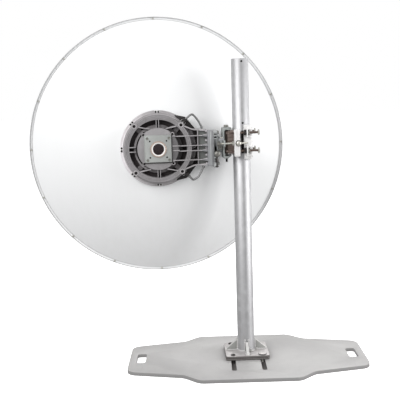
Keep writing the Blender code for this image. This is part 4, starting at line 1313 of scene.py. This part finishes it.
class ANTENNA_OT_elevation_drive(bpy.types.Operator):
    """The round boss on the yoke, the bracket on the antenna and the vertical adjusting screw"""

    bl_idname = "antenna.elevation_drive"
    bl_label = "Elevation drive"

    def execute(self, context):
        profile = [(0.0086, 0.0002), (0.0300, 0.0002), (0.0310, 0.0012), (0.0306, 0.0034), (0.0292, 0.0048)]
        profile += [(0.0272, 0.0110), (0.0268, 0.0150), (0.0262, 0.0164), (0.0086, 0.0164)]
        boss = turned(profile, 72)
        axis = Matrix.Translation((-0.0850, ELEVATION_Y, AXES_Z)) @ Matrix.Rotation(math.radians(90), 4, "Y")
        set_into_mesh(boss, axis)
        knurls = []
        for i in range(36):
            turn = math.radians(10 * i)
            y, z = ELEVATION_Y + 0.0302 * math.sin(turn), AXES_Z + 0.0302 * math.cos(turn)
            knurls.append(bar((-0.0842, y, z), (-0.0818, y, z), 0.0008, 8, 0.0008))
        boss = join(boss, *knurls)
        done(boss, "elevation_boss", "azimuth_head", "cast_boss", ["elevation_sector"], 35, HEAD)
        lock = join(
            nut((-0.0772, -0.0278, 0.765), (-0.0772, -0.0350, 0.765), 0.0078),
            threaded((-0.0772, -0.0145, 0.765), (-0.0772, -0.0352, 0.765), 0.0040, 0.0014),
        )
        done(lock, "elevation_lock", "azimuth_head", "zinc_dark", ["elevation_lock_bolt"], 30, HEAD)

        outline = [(y, z) for y, z in rounded_box_outline(0.074, 0.1293, 0.0045, 5)]
        bracket = plate([(y + 0.007, z + 0.75875) for y, z in outline], 0.0862, 0.1006, 0.0012)
        upright = Matrix(((0, 0, -1, 0), (1, 0, 0, 0), (0, 1, 0, 0), (0, 0, 0, 1)))
        set_into_mesh(bracket, upright)
        shapes = [bracket]
        for z in (0.8160, 0.7080):
            for y in (-0.022, 0.034):
                shapes.append(bar((-0.0868, y, z), (-0.0858, y, z), 0.0070, 24, edge=0.0003, segments=1))
        for z in (0.8050, 0.7950, 0.7300, 0.7200):
            shapes.append(block((-0.0985, -0.0305, z - 0.0016), (-0.0885, -0.0285, z + 0.0016), 0.0006))
        bracket = join(*shapes)
        cut(bracket, bar((-0.11, ELEVATION_Y, AXES_Z), (-0.08, ELEVATION_Y, AXES_Z), 0.0083, 40))
        done(bracket, "elevation_plate", "antenna", "cast_boss", ["elevation_bracket"], 35, HEAD)
        pin = bar((-0.1003, ELEVATION_Y, AXES_Z), (-0.0689, ELEVATION_Y, AXES_Z), 0.0080, 40, edge=0.0006)
        done(pin, "elevation_pivot", "antenna", "zinc_dark", ["elevation_pivot_bolt"], 40, HEAD)
        flange_nuts = []
        for z in (0.8160, 0.7080):
            for y in (-0.022, 0.034):
                flange_nuts.append(nut((-0.0859, y, z), (-0.0812, y, z), 0.0062))
        nuts = join(*flange_nuts)
        done(nuts, "bracket_nuts", "antenna", "zinc_dark", angle=30, matrix=HEAD)

        head = [(0, 0.0178), (0.0052, 0.0174), (0.0088, 0.0160), (0.0103, 0.0138), (0.0105, 0.0110), (0.0105, 0.0008)]
        head += [(0.0100, 0.0002), (0.0040, 0.0002), (0.0040, -0.0110), (0, -0.0110)]
        start = (-0.0888, -0.0303, 0.743)
        swivel = set_into_mesh(turned(head, 40, closed=False), aimed(start, (-0.0888, -0.06, 0.743)))
        cut(swivel, bar((-0.0910, -0.039, 0.72), (-0.0910, -0.039, 0.77), 0.0033, 20))
        done(swivel, "elevation_swivel_head", "antenna", "zinc_dark", ["elevation_swivel_pin"], 50, HEAD)

        def at(z):
            return (-0.0910, -0.039, z)

        screw = join(
            threaded(at(0.6970), at(0.7568), 0.0030, 0.0012),
            nut(at(0.7150), at(0.7200), 0.0066),
            nut(at(0.7204), at(0.7250), 0.0066),
            washer(at(0.6976), at(0.7014), 0.0060),
        )
        done(screw, "elevation_screw", "antenna", "black_oxide", ["elevation_adjuster"], 30, HEAD)
        return {"FINISHED"}


# ---------------------------------------------------------------- hub and arm


class ANTENNA_OT_hub(bpy.types.Operator):
    """The round casting on the back of the dish: flange, ledge, ring, trough, boss and ribs"""

    bl_idname = "antenna.hub"
    bl_label = "Hub"

    def execute(self, context):
        profile = [(0.0264, BOSS_TOP - 0.0006), (0.0270, BOSS_TOP), (0.0712, BOSS_TOP), (0.0726, BOSS_TOP - 0.0006)]
        profile += [(0.0731, BOSS_TOP - 0.0020), (0.0740, 0.0270), (0.0752, 0.0248), (0.0775, 0.0240), (0.0835, 0.0238)]
        profile += [(0.0850, 0.0226), (0.0858, 0.0130), (0.0875, 0.0106), (0.0900, 0.0100), (0.0975, 0.0100)]
        profile += [(0.0997, 0.0110), (0.1006, 0.0135), (0.1014, RING_TOP - 0.0018), (0.1026, RING_TOP)]
        for groove in (0.1062, 0.1112):
            profile += [(groove - 0.0011, RING_TOP), (groove - 0.0006, RING_TOP - 0.0011)]
            profile += [(groove + 0.0006, RING_TOP - 0.0011), (groove + 0.0011, RING_TOP)]
        profile += [(0.1158, RING_TOP), (0.1171, RING_TOP - 0.0010), (0.1175, RING_TOP - 0.0026), (0.1186, 0.0135)]
        profile += [(0.1196, 0.0116), (0.1214, 0.0110), (0.1242, 0.0110), (0.1250, 0.0103), (0.1255, 0.0082)]
        profile += [(0.1266, 0.0071), (0.1280, 0.0070), (0.1330, 0.0070), (0.1339, 0.0062), (0.1340, 0.0050)]
        profile += [(0.1340, 0.0002), (0.0264, 0.0002)]
        body = turned(profile, 144)
        done(body, "hub_turned_body", "antenna", "cast_hub", ["hub_casting"], 35, HUB)

        shapes = []
        for offset in (-0.0080, 0.0080):
            shapes.append(rib((-0.0705, offset), (-0.1030, offset), 0.0042, 0.009, RIB_TOP))
        for offset in (-0.0042, 0.0042):
            for side in (-1, 1):
                shapes.append(rib((offset, side * 0.0705), (offset, side * 0.1030), 0.0032, 0.009, RIB_TOP))
        for x in (-1, 1):
            for y in (-1, 1):
                corner = (x * 0.0812, y * 0.0812)
                shapes.append(rib((x * 0.0270, y * 0.0665), (x * 0.0700, y * 0.0820), 0.0042, 0.009, RIB_TOP))
                shapes.append(rib((x * 0.0500, y * 0.0500), (x * 0.0745, y * 0.0745), 0.0168, 0.009, 0.0225, 0.001, 0.0016))
                brim = RING_TOP + 0.0014
                pillar = [(0, 0.004), (0.0100, 0.004), (0.0096, brim - 0.0012), (0.0086, brim)]
                pillar += [(0.0060, brim), (0.0054, brim - 0.0006), (0.0052, brim - 0.0120), (0, brim - 0.0120)]
                post = turned(pillar[::-1], 36, closed=False)
                shapes.append(set_into_mesh(post, Matrix.Translation((*corner, 0))))
                edge = (x * 0.0505, y * 0.0505)
                brim = BOSS_TOP + 0.0014
                lug = [(0, 0.010), (0.0070, 0.010), (0.0068, brim - 0.0012), (0.0060, brim)]
                lug += [(0.0048, brim), (0.0043, brim - 0.0006), (0.0042, brim - 0.010), (0, brim - 0.010)]
                post = turned(lug[::-1], 28, closed=False)
                shapes.append(set_into_mesh(post, Matrix.Translation((*edge, 0))))
        for y in (0.044, 0.009, -0.007, -0.041):
            outer = math.sqrt(0.0735**2 - y**2) + 0.001
            shapes.append(rib((0.0485, y), (outer, y), 0.0046, BOSS_TOP - 0.006, BOSS_TOP + 0.0022, 0.0006, 0.0006))
        ribs = join(*shapes)
        done(ribs, "hub_ribs", "antenna", "cast_ribs_lit", angle=35, matrix=HUB)
        # Near black plugs in the tapped holes: painted shade.
        holes = []
        for x in (-1, 1):
            for y in (-1, 1):
                post, lug = (x * 0.0812, y * 0.0812), (x * 0.0505, y * 0.0505)
                holes.append(bar((*post, RING_TOP - 0.0080), (*post, RING_TOP + 0.0006), 0.0053, 24))
                holes.append(bar((*lug, BOSS_TOP - 0.0080), (*lug, BOSS_TOP + 0.0006), 0.0043, 20))
        done(join(*holes), "hub_tapped_hole_shades", "antenna", "recess", angle=35, matrix=HUB)
        # A near black arc at the foot of the boss, on the left: painted shadow line.
        ring = arc((0, 0), 0.0778, 128, 232, 48) + arc((0, 0), 0.0728, 232, 128, 48)
        seal = plate(ring, BOSS_TOP - 0.0190, BOSS_TOP - 0.0030)
        done(seal, "hub_boss_shadow_arc", "antenna", "recess", angle=35, matrix=HUB)
        return {"FINISHED"}


class ANTENNA_OT_arm(bpy.types.Operator):
    """The ribbed arm with its deep and shallow pockets, end flange and side webs"""

    bl_idname = "antenna.arm"
    bl_label = "Arm"

    def execute(self, context):
        top = [(0.0800, 0.0840), (0.1000, 0.0757), (0.1210, 0.0668), (0.1390, 0.0645), (0.1720, 0.0618)]
        bottom = [(0.0820, -0.0800), (0.1020, -0.0722), (0.1240, -0.0638), (0.1400, -0.0622), (0.1720, -0.0608)]
        floor = plate(top + bottom[::-1], 0.0006, 0.0060, 0.0008)
        # The shelf's darker finish is painted shade in the shallow pockets.
        shelf = plate([(0.1395, 0.0625), (0.1720, 0.0600), (0.1720, -0.0590), (0.1395, -0.0600)], 0.0020, 0.0300, 0.0010)
        done(shelf, "arm_shelf", "antenna", "cast_shelf_shaded", angle=35, matrix=HUB)
        shapes = [floor]
        shapes.append(strip(top, -0.0046, 0.0012, RIB_TOP - 0.0004, 0.0010))
        shapes.append(strip(bottom, 0.0046, 0.0012, RIB_TOP - 0.0004, 0.0010))
        for y in (0.042, 0.008, -0.010, -0.042):
            inner = math.sqrt(0.073**2 - y**2) - 0.002
            shapes.append(rib((inner, y), (0.1715, y), 0.0044, 0.003, RING_TOP + 0.0016, 0.0007, 0.0009))
            flare = [(0.1540, y - 0.0020), (0.1700, y - 0.0052), (0.1715, y - 0.0052), (0.1715, y + 0.0052)]
            flare += [(0.1700, y + 0.0052), (0.1540, y + 0.0020)]
            shapes.append(plate(flare, 0.0260, RIB_TOP - 0.0012, 0.0012))
        for y in (0.0575, 0.0250, -0.0010, -0.0260, -0.0555):
            lump = [(0, 0.020), (0.0042, 0.020), (0.0040, RIB_TOP - 0.002), (0.0028, RIB_TOP), (0, RIB_TOP + 0.0002)]
            post = turned(lump[::-1], 24, closed=False)
            shapes.append(set_into_mesh(post, Matrix.Translation((0.1685, y, 0))))
        shapes.append(rib((0.1390, 0.0630), (0.1390, -0.0610), 0.0042, 0.004, RIB_TOP - 0.0012, 0.0006, 0.0009))
        arm = join(*shapes)
        done(arm, "arm_ribbed_casting", "antenna", "cast_ribs_lit", angle=35, matrix=HUB)

        flange = block((-0.1195, -0.0300, 0.7015), (-0.1014, 0.0415, 0.8242), 0.0018, 3)
        shapes = [flange]
        for z in (0.8160, 0.7080):
            shapes.append(bar((-0.1215, -0.022, z), (-0.1180, -0.022, z), 0.0066, 28, edge=0.0006))
        for z in (0.8055, 0.7715, 0.7535, 0.7215):
            gusset = [(-0.1400, 0.0075), (-0.1190, 0.0075), (-0.1190, -0.0250), (-0.1230, -0.0250)]
            shapes.append(plate(gusset, z - 0.0021, z + 0.0021, 0.0007))
        flange = join(*shapes)
        done(flange, "arm_end_flange", "antenna", "cast_flange", angle=35, matrix=HEAD)
        ridge = block((-0.1120, -0.0312, 0.7050), (-0.1080, -0.0290, 0.8205), 0.0008)
        done(ridge, "arm_flange_ridge", "antenna", "cast_boss", angle=35, matrix=HEAD)

        shapes = []
        for side, place in ((1, (0.0940, 0.0975)), (-1, (0.0985, -0.0925))):
            web = [(0.060, side * 0.1165), (0.098, side * 0.108), (0.132, side * 0.0655), (0.090, side * 0.060)]
            shapes.append(plate(web if side > 0 else web[::-1], 0.0016, 0.0080, 0.0012))
            foot = [(0, 0.005), (0.0078, 0.005), (0.0064, 0.0120), (0.0060, 0.0318), (0.0050, 0.0330), (0, 0.0330)]
            post = turned(foot[::-1], 32, closed=False)
            shapes.append(set_into_mesh(post, Matrix.Translation((*place, 0))))
        webs = join(*shapes)
        # The side webs are near black as painted shade.
        done(webs, "arm_side_webs", "antenna", "cast_web", angle=35, matrix=HUB)
        return {"FINISHED"}


class ANTENNA_OT_handles(bpy.types.Operator):
    """Two bent rods beside the arm"""

    bl_idname = "antenna.handles"
    bl_label = "Handles"

    def execute(self, context):
        radius = context.scene.antenna_sizes.handle_radius
        upper = [(0.0990, 0.1015), (0.1164, 0.1150), (0.1220, 0.1172), (0.1308, 0.1096), (0.1446, 0.0904), (0.1567, 0.0664)]
        lower = [(0.1030, -0.0975), (0.1150, -0.1108), (0.1203, -0.1140), (0.1376, -0.1034), (0.1495, -0.0833), (0.1587, -0.0658)]
        for name, path in (("upper", upper), ("lower", lower)):
            rod = tube([(x, y, 0.027) for x, y in path], radius, 0.0045, 5)
            last, before = Vector((*path[-1], 0.027)), Vector((*path[-2], 0.027))
            along = (last - before).normalized()
            collar = bar(last - along * 0.0066, last - along * 0.0010, 0.0050, 24, edge=0.0005)
            first, after = Vector((*path[0], 0.027)), Vector((*path[1], 0.027))
            along = (after - first).normalized()
            foot = bar(first + along * 0.0006, first + along * 0.0056, 0.0050, 24, edge=0.0005)
            rod = join(rod, collar, foot)
            done(rod, f"handle_{name}_rod", "antenna", "rod_grey", [f"handle_{name}"], 40, HUB)
        return {"FINISHED"}


class ANTENNA_OT_adapter(bpy.types.Operator):
    """The square milled plate with its screws and the turned waveguide through it"""

    bl_idname = "antenna.adapter"
    bl_label = "Adapter plate"

    def execute(self, context):
        lower = plate(rounded_box_outline(0.098, 0.098, 0.0020, 4), 0.0450, 0.0490, 0.0004, 1)
        upper = plate(rounded_box_outline(0.090, 0.090, 0.0016, 4), 0.0488, ADAPTER_BACK, 0.0005, 2)
        body = join(lower, upper)
        cut(body, bar((0, 0, 0.04), (0, 0, 0.06), 0.0280, 96))
        for x in (-1, 1):
            for y in (-1, 1):
                cut(body, bar((x * 0.0290, y * 0.0285, 0.0475), (x * 0.0290, y * 0.0285, 0.06), 0.0030, 20))
                cut(body, bar((x * 0.0378, y * 0.0378, 0.0512), (x * 0.0378, y * 0.0378, 0.06), 0.0050, 28))
        done(body, "adapter_milled_plate", "antenna", "milled_adapter", ["adapter_plate"], 30, HUB)
        screws = [
            cap_screw((x * 0.0378, y * 0.0378, 0.0513), (x * 0.0378, y * 0.0378, ADAPTER_BACK), 0.0043)
            for x in (-1, 1)
            for y in (-1, 1)
        ]
        done(join(*screws), "adapter_screws", "antenna", "zinc_dark", angle=30, matrix=HUB)
        # Near black plugs in the small holes: painted shade.
        holes = [
            bar((x * 0.0290, y * 0.0285, 0.0480), (x * 0.0290, y * 0.0285, ADAPTER_BACK - 0.0003), 0.0030, 20)
            for x in (-1, 1)
            for y in (-1, 1)
        ]
        done(join(*holes), "adapter_small_hole_shades", "antenna", "recess", angle=30, matrix=HUB)

        end = -0.298
        profile = [(0.0192, 0.0540), (0.0200, 0.0560), (0.0274, 0.0560), (0.0279, 0.0555), (0.0279, 0.0452)]
        profile += [(0.0255, 0.0450), (0.0255, end), (0.0250, end - 0.0003), (0.0196, end - 0.0003), (0.0192, end)]
        guide = turned(profile, 128)
        done(guide, "waveguide", "antenna", "copper", ["waveguide_tube"], 40, HUB)
        # A dark sleeve with a closed end inside the guide: painted shade in the bore.
        bore_shade_profile = [(0.0186, 0.0538), (0.0191, 0.0541), (0.0191, -0.2660), (0, -0.2660), (0, -0.2655), (0.0186, -0.2655)]
        sleeve = turned(bore_shade_profile[::-1], 96)
        done(sleeve, "waveguide_bore_shade", "antenna", "bore", angle=40, matrix=HUB)
        bright = [(0.0196, 0.0558), (0.0200, 0.0561), (0.0238, 0.0561), (0.0241, 0.0558)]
        ring = turned(bright[::-1], 96)
        done(ring, "waveguide_face_ring", "antenna", "turned_white", angle=40, matrix=HUB)
        return {"FINISHED"}


# ---------------------------------------------------------------- dish and feed


class ANTENNA_OT_reflector(bpy.types.Operator):
    """The spun dish with its flat rim, rolled edge and threaded inserts"""

    bl_idname = "antenna.reflector"
    bl_label = "Reflector"

    def execute(self, context):
        sizes = context.scene.antenna_sizes
        seat, sheet, top = sizes.dish_seat, sizes.sheet, sizes.dish_depth
        outer = sizes.rim_radius
        inner = outer - sizes.rim_width
        focal = (inner**2 - seat**2) / (4 * top)
        steps = 34

        def height(r):
            return max(0.0, (r**2 - seat**2) / (4 * focal))

        radii = [seat + (inner - seat) * i / steps for i in range(steps + 1)]
        front = [(0.0264, 0), (0.070, 0)] + [(r, height(r)) for r in radii]
        lip = [(inner + 0.0008, top + 0.0001), (outer - 0.0016, top), (outer - 0.0004, top - 0.0005)]
        lip += [(outer, top - 0.0018), (outer, top - 0.0080), (outer - 0.0006, top - 0.0089)]
        lip += [(outer - 0.0014, top - 0.0089), (outer - sheet, top - 0.0080), (outer - sheet, top - 0.0034)]
        lip += [(outer - sheet - 0.0008, top - sheet - 0.0002), (inner + 0.0012, top - sheet)]
        lip += [(inner + 0.0004, top - sheet - 0.0008)]
        back = [(r, height(r) - sheet) for r in reversed(radii)] + [(0.070, -sheet), (0.0264, -sheet)]
        dish = turned(front + lip + back, 160)
        # The dish's own Z points away from the viewer, its zero on the concave side of the seat.
        away = HEAD @ Matrix.Translation((DISH_X, 0.048, DISH_Z)) @ Matrix.Rotation(math.radians(-90), 4, "X")
        done(dish, "dish_shell", "antenna", "dish_white", ["reflector"], 30, away)

        place = inner + 0.0040
        insert = [(0, -0.0060), (0.0017, -0.0060), (0.0018, -0.0028), (0.0021, -0.0024), (0.0031, -0.0024)]
        insert += [(0.0034, -0.0021), (0.0034, 0.0), (0, 0.0)]
        pattern = turned([(r, -h) for r, h in insert], 20, closed=False)
        holes, screws = [], []
        for i in range(sizes.rim_inserts):
            turn = 2 * math.pi * i / sizes.rim_inserts
            spot = Matrix.Translation((place * math.sin(turn), place * math.cos(turn), top - sheet))
            screws.append(copy(pattern, spot @ Matrix.Rotation(math.pi, 4, "X")))
            # A near black plug in each insert: painted shade of its hole.
            dark = bar((0, 0, -0.0029), (0, 0, -0.0006), 0.0008, 14)
            holes.append(set_into_mesh(dark, spot))
        pick(pattern)
        bpy.ops.object.delete()
        done(join(*screws), "rim_inserts", "antenna", "zinc", angle=30, matrix=away)
        done(join(*holes), "rim_insert_hole_shades", "antenna", "recess", angle=30, matrix=away)
        return {"FINISHED"}


class ANTENNA_OT_feed(bpy.types.Operator):
    """The dielectric cone and the small reflector on the waveguide's far end"""

    bl_idname = "antenna.feed"
    bl_label = "Feed"

    def execute(self, context):
        low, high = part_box("sub_reflector"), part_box("feed_cone")
        away = HEAD @ Matrix.Translation((DISH_X, 0.343, DISH_Z)) @ Matrix.Rotation(math.radians(-90), 4, "X")
        cone = [(0, -0.0300), (0.0160, -0.0300), (0.0188, -0.0270), (0.0188, 0.0006), (0.0254, 0.0006), (0.0254, 0.0080)]
        for i in range(1, 10):
            t = i / 9
            radius = 0.0254 + 0.0206 * t
            step = 0.0008 if i % 2 else 0.0
            cone += [(radius - step, 0.0080 + 0.0400 * (t - 0.08)), (radius, 0.0080 + 0.0400 * t)]
        cone += [(0.0470, 0.0492), (0.0480, 0.0510), (0.0480, 0.0545), (0, 0.0545)]
        shape = turned(cone, 96, closed=False)
        done(shape, "feed_dielectric_cone", "antenna", "plastic", ["feed_cone"], 35, away)
        disc = [(0, 0.0552), (0.0500, 0.0552), (0.0512, 0.0556), (0.0519, 0.0566), (0.0519, 0.0578), (0.0510, 0.0588)]
        disc += [(0.0440, 0.0589), (0.0432, 0.0583), (0.0200, 0.0583), (0.0190, 0.0589), (0, 0.0589)]
        splash = turned(disc, 96, closed=False)
        done(splash, "feed_small_reflector", "antenna", "milled", ["sub_reflector"], 35, away)
        return {"FINISHED"}


class ANTENNA_OT_hub_screws(bpy.types.Operator):
    """The small screws round the hub's flange, in pairs on raised lugs"""

    bl_idname = "antenna.hub_screws"
    bl_label = "Hub screws"

    def execute(self, context):
        lugs, heads = [], []
        for i in range(8):
            around = Matrix.Rotation(math.radians(45 * i), 4, "Z")
            lug = plate(rounded_box_outline(0.0190, 0.0090, 0.0030, 4), 0.0066, 0.0088, 0.0008)
            lugs.append(set_into_mesh(lug, around @ Matrix.Translation((0, 0.1284, 0))))
            for x in (-0.0050, 0.0050):
                head = cap_screw((x, 0.1284, 0.0086), (x, 0.1284, 0.0106), 0.0036)
                heads.append(set_into_mesh(head, around))
        done(join(*lugs), "hub_flange_lugs", "antenna", "cast_pale", angle=30, matrix=HUB)
        done(join(*heads), "hub_flange_screws", "antenna", "black_oxide", angle=30, matrix=HUB)
        return {"FINISHED"}


# ---------------------------------------------------------------- stage


class ANTENNA_OT_stage(bpy.types.Operator):
    """Pale floor, soft studio light and the camera"""

    bl_idname = "antenna.stage"
    bl_label = "Stage"

    def execute(self, context):
        rest()
        bpy.ops.mesh.primitive_plane_add(size=60, location=(0, 0, -0.0005))
        floor = bpy.context.object
        floor.name = "pale_floor"
        f = Finish("floor_white", (0.86, 0.86, 0.86))
        x, y, z = f.axes()
        # Painted shadow: under the slots the floor is dark and gives no light.
        off_slot = (x.maths("ABSOLUTE", x) - 0.052).maths("ABSOLUTE", x.maths("ABSOLUTE", x) - 0.052)
        under_slot_shadow = (1 - off_slot.above(0.014, 0.002)) * (1 - y.maths("ABSOLUTE", y).above(0.21, 0.002))
        tone = f.mixed(f.noise(0.6, 2.0, 0.5) * 0.3, (0.87, 0.87, 0.87), (0.84, 0.84, 0.84))
        tone = f.mixed(under_slot_shadow, tone, (0.16, 0.15, 0.145))
        f.tree.links.new(f.mixed(under_slot_shadow, (1, 1, 1), (0, 0, 0)).socket, f.shader.inputs["Emission Color"])
        floor.data.materials.append(f.surface(tone, 0.85, Emission_Strength=0.75))
        floor.visible_diffuse = False
        floor.visible_glossy = False

        world = bpy.data.worlds.new("studio")
        world.use_nodes = True
        nodes = world.node_tree.nodes
        seen = Wire(world.node_tree, nodes.new("ShaderNodeLightPath").outputs["Is Camera Ray"])
        strength = STUDIO_GLOW + seen * (1 - STUDIO_GLOW)
        nodes["Background"].inputs["Color"].default_value = (1, 1, 1, 1)
        world.node_tree.links.new(strength.socket, nodes["Background"].inputs["Strength"])
        context.scene.world = world

        def soft_light(name, place, target, size, energy, colour=(1, 1, 1)):
            bpy.ops.object.light_add(type="AREA", location=place)
            lamp = bpy.context.object
            lamp.name = name
            lamp.data.shape = "RECTANGLE"
            lamp.data.size, lamp.data.size_y = size
            lamp.data.energy = energy
            lamp.data.color = colour
            lamp.rotation_euler = (Vector(target) - Vector(place)).to_track_quat("-Z", "Y").to_euler()
            return lamp

        soft_light("key_light", (-2.1, -2.3, 2.5), (-0.2, 0, 0.7), (2.6, 2.4), 95)
        soft_light("fill_light", (2.9, -1.0, 1.2), (0, 0, 0.7), (1.8, 2.4), 70)
        soft_light("rim_light", (2.2, 1.6, 1.4), (0, 0, 0.6), (0.8, 2.4), 16)
        soft_light("back_light", (0.5, 3.0, 2.6), (-0.2, 0, 0.7), (2.5, 1.5), 40)

        eye = bpy.data.cameras.new("photo_camera")
        eye.sensor_width = 36.0
        eye.lens = 781.4 / 400 * 36.0
        eye.clip_start, eye.clip_end = 0.05, 100.0
        camera = bpy.data.objects.new("photo_camera", eye)
        context.scene.collection.objects.link(camera)
        yaw, pitch, roll = math.radians(0.176), math.radians(7.811), math.radians(1.752)
        turn = Matrix.Rotation(yaw, 4, "Z") @ Matrix.Rotation(math.pi / 2 - pitch, 4, "X")
        camera.matrix_world = Matrix.Translation((-0.1424, -2.7347, 0.9535)) @ turn @ Matrix.Rotation(-roll, 4, "Z")
        context.scene.camera = camera
        context.scene.view_settings.view_transform = "Standard"
        return {"FINISHED"}


# ---------------------------------------------------------------- sidebar


OPERATORS = (
    ANTENNA_OT_base_plate,
    ANTENNA_OT_mast_foot,
    ANTENNA_OT_mast,
    ANTENNA_OT_clamp,
    ANTENNA_OT_clamp_bolts,
    ANTENNA_OT_yoke,
    ANTENNA_OT_azimuth_drive,
    ANTENNA_OT_elevation_drive,
    ANTENNA_OT_hub,
    ANTENNA_OT_arm,
    ANTENNA_OT_handles,
    ANTENNA_OT_adapter,
    ANTENNA_OT_hub_screws,
    ANTENNA_OT_feed,
    ANTENNA_OT_reflector,
    ANTENNA_OT_stage,
)


class ANTENNA_PT_panel(bpy.types.Panel):
    """Sizes, colours and the pieces of the antenna"""

    bl_idname = "ANTENNA_PT_panel"
    bl_label = "Dish antenna"
    bl_space_type = "VIEW_3D"
    bl_region_type = "UI"
    bl_category = "Antenna"

    def draw(self, context):
        layout = self.layout
        for title, group in (("Sizes", context.scene.antenna_sizes), ("Colours", context.scene.antenna_colours)):
            box = layout.box()
            box.label(text=title)
            for name in group.__annotations__:
                box.prop(group, name)
        column = layout.column(align=True)
        for operator in OPERATORS:
            column.operator(operator.bl_idname)


CLASSES = (AntennaSizes, AntennaColours, *OPERATORS, ANTENNA_PT_panel)


def register():
    for cls in CLASSES:
        bpy.utils.register_class(cls)
    bpy.types.Scene.antenna_sizes = PointerProperty(type=AntennaSizes)
    bpy.types.Scene.antenna_colours = PointerProperty(type=AntennaColours)


def unregister():
    del bpy.types.Scene.antenna_colours
    del bpy.types.Scene.antenna_sizes
    for cls in reversed(CLASSES):
        bpy.utils.unregister_class(cls)


def main():
    """Registers the add-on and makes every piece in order."""
    register()
    FINISHES.update(make_finishes(bpy.context.scene.antenna_colours))
    for operator in OPERATORS:
        group, name = operator.bl_idname.split(".")
        getattr(getattr(bpy.ops, group), name)()


if __name__ == "__main__":
    main()
